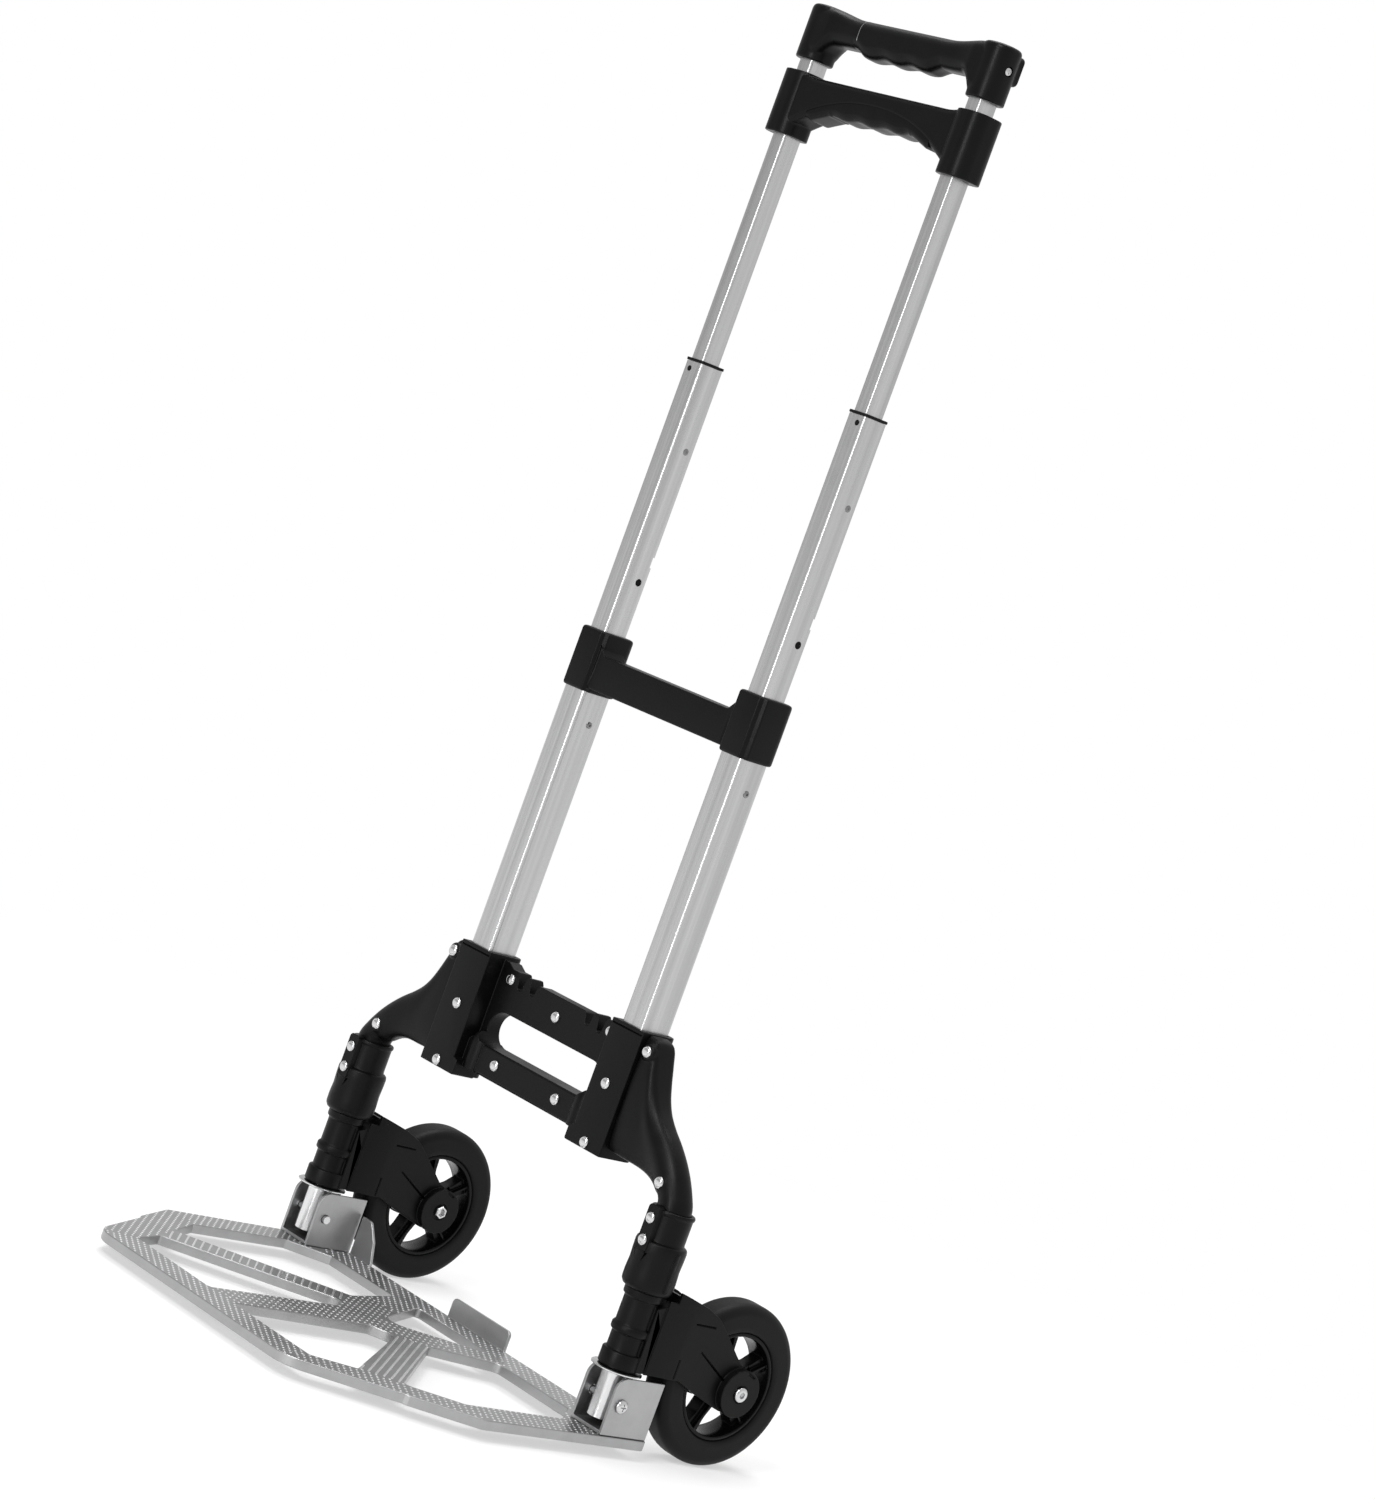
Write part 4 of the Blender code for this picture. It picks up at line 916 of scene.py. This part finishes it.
def posts(side, label):
    """Three nested anodised tubes with end cap, slide guides, side screws and lock holes."""
    stages = (("outer_tube_", OUTER_POST, OUTER_Z), ("middle_tube_", MIDDLE_POST, MIDDLE_Z),
              ("inner_tube_", INNER_POST, INNER_Z))
    half = MIDDLE_POST[0] / 2.0
    peg_place = (POST_X + 2.6, 0.0, MIDDLE_Z[1] - 5.4)
    for name, post, (low, high) in stages:
        body = tube_body(post_outline(post), post_outline(post, -post[3]), low, high)
        if name == "middle_tube_":
            hole = along(rod(2.8, -30.0, 30.0, 28), "X", (POST_X, SCREW_Y, LOCK_HOLE_Z))
            front = along(rod(2.1, 4.0, 30.0, 24), "-Y", peg_place)
            notch = rectangle(POST_X - 20.0, POST_X + 20.0, LOCK_HOLE_Z + 12.5, LOCK_HOLE_Z + 20.5, 1.0)
            notch = prism(notch, post[2] - 3.4, post[2] + 5.0, "Y")
            body = carve(body, (CUT, hole), (CUT, front), (CUT, notch))
        stand(name + label, body, side, sharp=40.0)

    top = MIDDLE_Z[1] + GAP
    bead = tube_body(post_outline(MIDDLE_POST, 0.7), post_outline(INNER_POST, GAP), top, top + 2.0)
    stand("tube_cap_" + label, bead, side, bevel=0.4)
    for name, around, within_it, foot, height in (
            ("middle_guide_", OUTER_POST, MIDDLE_POST, MIDDLE_Z[0] - GAP, 12.0),
            ("inner_guide_", MIDDLE_POST, INNER_POST, INNER_Z[0] - GAP, 10.0)):
        shell = post_outline(around, -around[3] - GAP)
        core = post_outline(within_it, -within_it[3] - 1.6)
        stand(name + label, tube_body(shell, core, foot - height, foot), side, bevel=0.4)

    screws = (("outer_tube_screw_", "frame", OUTER_POST[0] / 2.0, 451.0, 1.0),
              ("middle_tube_screw_", "middle_stage", half, 659.0, 0.25))
    for name, body_name, flank, z, height in screws:
        for sign, axis, end in ((1.0, "X", "out_"), (-1.0, "-X", "in_")):
            head = turned([(1.2, -1.0), (1.2, 0.0), (2.4, 0.0), (2.5, 0.3), (2.1, 0.8), (1.3, 1.0)], 32)
            head = carve(head, (CUT, rod(0.9, 0.2, 2.0, 6)))
            head.transform(Matrix.Scale(height, 4, (0.0, 0.0, 1.0)))
            head = along(head, axis, (POST_X + sign * flank, SCREW_Y, z))
            piece(name + end + label, head, "steel", body_name, side=side, sharp=50.0, finish="screw")
    # The lock pin ends and the stop peg get the near-black pocket finish: painted shade of the holes they sit
    # in.
    plugs = [along(rod(2.6, -0.5, 0.2, 24), axis, (POST_X + sign * (half - 0.9), SCREW_Y, LOCK_HOLE_Z))
             for sign, axis in ((1.0, "X"), (-1.0, "-X"))]
    peg = along(rod(1.9, 5.0, 0.4 - MIDDLE_POST[1], 24), "-Y", peg_place)
    for name, body in (("lock_pin_", merge(*plugs)), ("stop_peg_", peg)):
        piece(name + label, body, "guide", "middle_stage", side=side, bevel=0.3, finish="pocket")


def bridge():
    """Bridge over the outer tubes: two collars with fluted front corners and a flat bar."""
    low, high = BRIDGE_Z
    outer = POST_X + 15.2
    inner = POST_X - 15.2
    front = -14.6
    corners = [(inner, front + 4.6), (inner + 2.9, front + 2.9), (inner + 4.6, front), (outer - 4.6, front),
               (outer - 2.9, front + 2.9), (outer, front + 4.6), (outer, 18.4), (inner, 18.4)]
    shape = rounded(corners, [1.6, 1.3, 1.6, 1.6, 1.3, 1.6, 8.0, 8.0], 8)
    rings = []
    for inset, z in ((1.8, low), (0.8, low + 0.3), (0.2, low + 1.0), (0.0, low + 2.2), (0.0, high - 2.6),
                     (0.2, high - 1.2), (0.9, high - 0.35), (2.1, high)):
        share = 1.0 - inset / 15.2
        rings.append([(POST_X + (x - POST_X) * share, 1.9 + (y - 1.9) * share, z) for x, y in shape])
    collar = rings_body(rings)
    edge = POST_X - 9.0

    def top(x):
        return low + 28.5 + 7.5 * max(0.0, min(1.0, (abs(x) - POST_X + 20.0) / 6.0)) ** 2

    xs = [edge * (i / 24.0 - 1.0) for i in range(49)]
    bar = rings_body(bar_rings(xs, top, lambda x: low + 3.0, -11.9, 10.0, 1.2))
    pocket = prism(post_outline(OUTER_POST, GAP), low - 5.0, OUTER_Z[1] + GAP)
    throat = prism(post_outline(MIDDLE_POST, GAP), low, high + 5.0)
    other = mirrored(collar)
    body = carve(collar, (ADD, other), (ADD, bar), *both(CUT, pocket),
                 *both(CUT, throat), merge_flat=False)
    stand("bridge", body, bevel=0.3)


def bar_rings(xs, top, bottom, front, back, round_to, flare=0.0):
    """Rings for a bar along X: top and bottom are functions of x, flare deepens it near the sleeves."""
    rings = []
    for x in xs:
        more = flare * min(1.0, max(0.0, (abs(x) - 56.0) / 18.0)) ** 2
        shape = rectangle(front - more, back + more, bottom(x), top(x), round_to, 7)
        rings.append([(x, y, z) for y, z in shape])
    return rings


def finger_wave(x):
    """Height of the waves that seat the fingers."""
    return 0.8 * math.cos(2.0 * math.pi * x / FINGER_PITCH)


def top_grip():
    """Upper hand grip: domed sleeves over the inner tubes and a bar with finger waves."""
    low, high = GRIP_Z
    rings = []
    for inset, z in ((0.6, low), (0.0, low + 0.6), (0.0, high - 3.4), (0.4, high - 2.0), (1.2, high - 0.9),
                     (2.6, high - 0.2), (4.4, high)):
        sleeve = rectangle(POST_X - 12.6 + inset, POST_X + 14.0 - inset, -13.4 + inset, 14.2 - inset,
                           12.4 - inset, 10)
        rings.append([(x, y, z) for x, y in sleeve])
    right = rings_body(rings)

    def bottom(x):
        reach = abs(x)
        base = 14.6 - 9.0 * min(1.2, max(0.0, (reach - 66.0) / 12.0)) ** 2
        if reach < 46.0:
            base -= 4.2 * min(1.0, (46.0 - reach) / 12.0) + finger_wave(reach)
        return low + base

    def top(x):
        share = min(1.0, max(0.0, (82.0 - abs(x)) / 38.0))
        return high - 0.4 - 4.2 * share * share * (3.0 - 2.0 * share)

    xs = [-88.0 + 176.0 * i / 132 for i in range(133)]
    bar = rings_body(bar_rings(xs, top, bottom, -11.8, 12.2, 8.4, 1.4))
    boss = prism(rectangle(POST_X - 8.0, POST_X + 9.0, high - 24.0, high - 3.0, 4.0), 11.0, 17.2, "Y")
    skin = melt(merge(mirrored(right), right, bar, mirrored(boss), boss), 0.55, 14)
    seat = (POST_X + 14.0, 0.4, low + 23.5)
    recess = along(rod(3.6, -1.6, 2.0, 40), "X", seat)
    pocket = prism(post_outline(INNER_POST, GAP), low - 5.0, low + 20.0)
    body = carve(skin, *both(CUT, recess), *both(CUT, pocket), merge_flat=False)
    stand("top_grip", body, sharp=50.0)
    # Thin strip standing slightly proud along the grip's joint line, given the bright steel finish: a painted
    # highlight on the black grip.
    joint_highlight = rings_body(bar_rings((-41.2, -40.8), lambda x: top(x) + 0.1, lambda x: bottom(x) + 0.4,
                                -11.92, 12.3, 8.4))
    piece("grip_joint_line_painted_highlight", joint_highlight, "grip", "handle", sharp=40.0, finish="steel")
    for side, label in SIDES:
        head = turned([(1.4, -5.2), (1.4, -1.5), (2.6, -1.5), (3.0, -1.2), (2.9, -0.7), (2.2, -0.1),
                       (1.3, 0.1)], 36)
        screw = along(crossed(head, 1.6, 1.0, 0.3), "X", seat)
        stand("grip_screw_" + label, screw, side, bevel=0.08)


def release_grip():
    """Lower grip squeezed to free the handle: sleeves, an arched shell and the ribbed finger insert."""
    low, high = RELEASE_Z
    outline = rectangle(POST_X - 12.2, POST_X + 16.2, -14.6, 15.4, 11.5, 12)
    right = prism(outline, low, high)

    def arch(x):
        return low + 29.6 - 21.0 * min(1.0, abs(x) / 78.0) ** 2.2

    xs = [-80.0 + 160.0 * i / 120 for i in range(121)]
    bar = rings_body(bar_rings(xs, lambda x: high - 2.2 + 2.0 * max(0.0, (abs(x) - 66.0) / 14.0) ** 2, arch,
                               -12.4, 13.0, 5.0))
    skin = melt(merge(mirrored(right), right, bar), 0.55, 6)
    outline = [(x, arch(x) - 6.0) for x in (-64.3, 64.3)]
    outline += [(64.3 - 3.215 * i, arch(64.3 - 3.215 * i) + 4.9) for i in range(41)]
    opening = prism(post_outline(INNER_POST, GAP), low - 5.0, high + 5.0)
    body = carve(skin, (CUT, prism(outline, -12.2, 12.2, "Y")), *both(CUT, opening),
                 merge_flat=False)
    stand("release_grip", body, sharp=50.0)

    def finger(x):
        reach = abs(x)
        wave = finger_wave(reach) if reach < 41.0 else 0.0
        edge = low + 19.8 - wave - max(0.0, reach - 44.0) * 0.34
        return max(edge, arch(x) - 0.6 - 0.9 * (64.0 - reach)) if reach > 56.0 else edge

    xs = [-64.0 + 128.0 * i / 96 for i in range(97)]
    rings = []
    for x in xs:
        ends = [(-11.9, finger(x)), (11.9, finger(x)), (11.9, arch(x) + 4.6), (-11.9, arch(x) + 4.6)]
        rings.append([(x, y, z) for y, z in rounded(ends, [5.0, 5.0, 0.5, 0.5], 6)])
    stand("finger_insert", rings_body(rings), sharp=60.0)


# ---------------------------------------------------------------- toe plate


def plate_outline(step=True):
    """Toe plate edge as (x, y), with or without the small step in its slanted front corners."""
    rear = PLATE_REAR
    corners = [(195.0, rear), (195.0, rear - 150.0)]
    radii = [3.0 if step else 6.0, 9.0]
    if step:
        corners += [(165.6, rear - 194.0), (162.4, rear - 195.5)]
        radii += [1.2, 1.2]
    corners.append((115.5, rear - 264.5))
    radii.append(28.0)
    return rounded(corners + [(-x, y) for x, y in reversed(corners)], radii + list(reversed(radii)), 6)


def plate_holes():
    """Openings of the toe plate as (x, y) loops: two front, two side and one rear."""
    def loop(points, radii):
        return rounded([(u, PLATE_REAR - v) for u, v in points], radii, 5)

    front = [(14.5, 237.0), (18.0, 116.0), (33.0, 104.0), (121.5, 206.0), (106.5, 236.5)]
    side = [(141.0, 181.0), (48.0, 84.0), (64.0, 31.0), (143.0, 31.0), (167.5, 57.0), (166.0, 145.0)]
    right = [loop(front, [3.0, 6.0, 14.0, 3.0, 4.0]), loop(side, [5.0, 5.0, 6.0, 2.0, 3.0, 3.0])]
    left = [[(-x, y) for x, y in hole] for hole in right]
    return right + left + [loop([(0.0, 93.0), (-44.0, 22.5), (44.0, 22.5)], [12.0, 3.0, 3.0])]


def crossings(loops, origin, direction):
    """Distances along a line at which it crosses the loops, sorted."""
    normal = Vector((-direction.y, direction.x))
    found = []
    for loop in loops:
        for i, end in enumerate(loop):
            a = Vector(loop[i - 1]) - origin
            b = Vector(end) - origin
            side_a = a.dot(normal)
            side_b = b.dot(normal)
            if (side_a < 0.0) != (side_b < 0.0):
                share = side_a / (side_a - side_b)
                found.append((a + (b - a) * share).dot(direction))
    return sorted(found)


def within(polygon, point):
    """Whether a flat point lies inside a polygon."""
    inside = False
    for i, (bx, by) in enumerate(polygon):
        ax, ay = polygon[i - 1]
        if (ay > point.y) != (by > point.y) and point.x < ax + (bx - ax) * (point.y - ay) / (by - ay):
            inside = not inside
    return inside


def tread(loops):
    """Raised pattern of the plate: dots in rows over every member, bars and long ridges on the diagonals."""
    top = PLATE_TOP
    rear = PLATE_REAR
    verts = []
    faces = []

    def bump(foot, crown, height):
        """Low bump between a ring of points on the plate and a smaller ring above it."""
        start = len(verts)
        size = len(foot)
        verts.extend((x, y, top - 0.05) for x, y in foot)
        verts.extend((x, y, top + height) for x, y in crown)
        for k in range(size):
            j = (k + 1) % size
            faces.append((start + k, start + j, start + size + j, start + size + k))
        faces.append(tuple(range(start + size, start + 2 * size)))

    def field(polygon, angle, row_gap, dot_gap=2.6, margin=2.4, solid=False):
        """Rows at an angle in degrees, kept inside the polygon and clear of the plate's edges."""
        direction = Vector((math.cos(math.radians(angle)), math.sin(math.radians(angle))))
        across = Vector((-direction.y, direction.x))
        area = [Vector((x, rear - v)) for x, v in polygon]
        flat = [tuple(corner) for corner in area]
        reach = [corner.dot(across) for corner in area]
        row = math.ceil(min(reach) / row_gap) * row_gap
        while row < max(reach):
            origin = across * row
            cuts = crossings(loops, origin, direction)
            for start, end in zip(cuts[::2], cuts[1::2]):
                count = int((end - start - 2.0 * margin) / dot_gap)
                if count < 1:
                    continue
                first = (start + end - count * dot_gap) / 2.0
                spots = [origin + direction * (first + dot_gap * k) for k in range(count + 1)]
                spots = [spot for spot in spots if within(flat, spot)]
                if not solid:
                    for x, y in spots:
                        bump(moved(circle(1.0, 7), x, y), moved(circle(0.62, 7), x, y), 0.35)
                elif len(spots) > 1:
                    bump(strip(spots[0], spots[-1], 1.7), strip(spots[0], spots[-1], 0.85), 0.45)
            row += row_gap

    # Members as (x, distance in front of the plate's rear edge)
    field([(-116.0, 270.0), (-106.0, 236.0), (106.0, 236.0), (116.0, 270.0)], -30.0, 4.4, 5.4)
    for side, angle in ((1.0, -30.0), (-1.0, -42.0)):
        def shape(points):
            return [(side * x, v) for x, v in points]

        field(shape([(116.5, 270.0), (106.5, 236.0), (121.5, 206.0), (141.0, 181.0), (166.0, 145.0),
                     (200.0, 146.0), (196.0, 200.0)]), angle, 4.7, 5.8)
        field(shape([(200.0, 145.4), (166.0, 144.4), (167.5, 57.0), (152.0, 40.0), (200.0, 40.0)]), angle,
              4.4, 5.4)
        field(shape([(55.4, 61.6), (66.0, 31.0), (66.0, 22.0), (44.0, 22.0), (22.4, 61.6)]), -33.0, 4.6, 5.8)
    middle = [(14.4, 237.0), (18.0, 116.4), (33.0, 103.4), (48.0, 84.0), (55.0, 62.0), (22.0, 62.0)]
    field(middle + [(0.0, 94.0)] + [(-x, v) for x, v in reversed(middle)], -48.0, 3.8, 8.0)
    field([(-160.0, 30.8), (-160.0, -1.0), (160.0, -1.0), (160.0, 30.8), (64.0, 30.8), (44.0, 22.0),
           (-44.0, 22.0), (-64.0, 30.8)], -33.0, 4.6, 5.8)
    # Ridges run along the right diagonal; the left one has short bars across it
    diagonal = [(34.0, 103.0), (122.0, 205.0), (140.5, 180.0), (49.0, 85.0)]
    field([(x, v) for x, v in diagonal], -47.0, 5.3, margin=1.0, solid=True)
    field([(-x, v) for x, v in diagonal], -41.0, 5.8, margin=1.4, solid=True)

    mesh = bpy.data.meshes.new("tread")
    mesh.from_pydata(verts, [], faces)
    bm = bmesh.new()
    bm.from_mesh(mesh)
    bpy.data.meshes.remove(mesh)
    return bm


def toe_plate():
    """Pressed toe plate: satin deck with a rolled rim, turned-up rear tabs and a raised tread."""
    top = PLATE_TOP
    outline = plate_outline()
    holes = plate_holes()
    hollow = holed_prism(grown(plate_outline(False), -3.2), [grown(hole, 2.4) for hole in holes],
                         top - PLATE_DEPTH - 1.0, top - 2.2)
    tab = rounded([(-34.0, top - 4.0), (34.0, top - 4.0), (34.0, top + 15.0), (-34.0, top + 15.0)],
                  [0, 0, 4, 4], 6)
    steps = [(CUT, hollow), (ADD, prism(tab, PLATE_REAR - 2.4, PLATE_REAR, "Y"))]
    wing = rounded([(132.0, top - 4.0), (158.0, top - 4.0), (158.0, top + 30.0), (147.0, top + 30.0),
                    (137.0, top + 17.0), (132.0, top + 2.0)], [0, 0, 1, 6, 6, 6], 6)
    steps += both(ADD, prism(wing, PLATE_REAR - 2.4, PLATE_REAR, "Y"))
    body = carve(holed_prism(outline, holes, top - PLATE_DEPTH, top), *steps)
    stand("toe_plate", body, bevel=0.7, sharp=30.0)
    piece("toe_plate_tread", tread([outline] + holes), "plate", "toe_plate", sharp=20.0, finish="tread")


crossbar()
bridge()
top_grip()
release_grip()
toe_plate()
frame_rivets()
for _side, _label in SIDES:
    arm(_side, _label)
    posts(_side, _label)
    leg(_side, _label)
    bracket(_side, _label)
    fork(_side, _label)
    wheel(_side, _label)
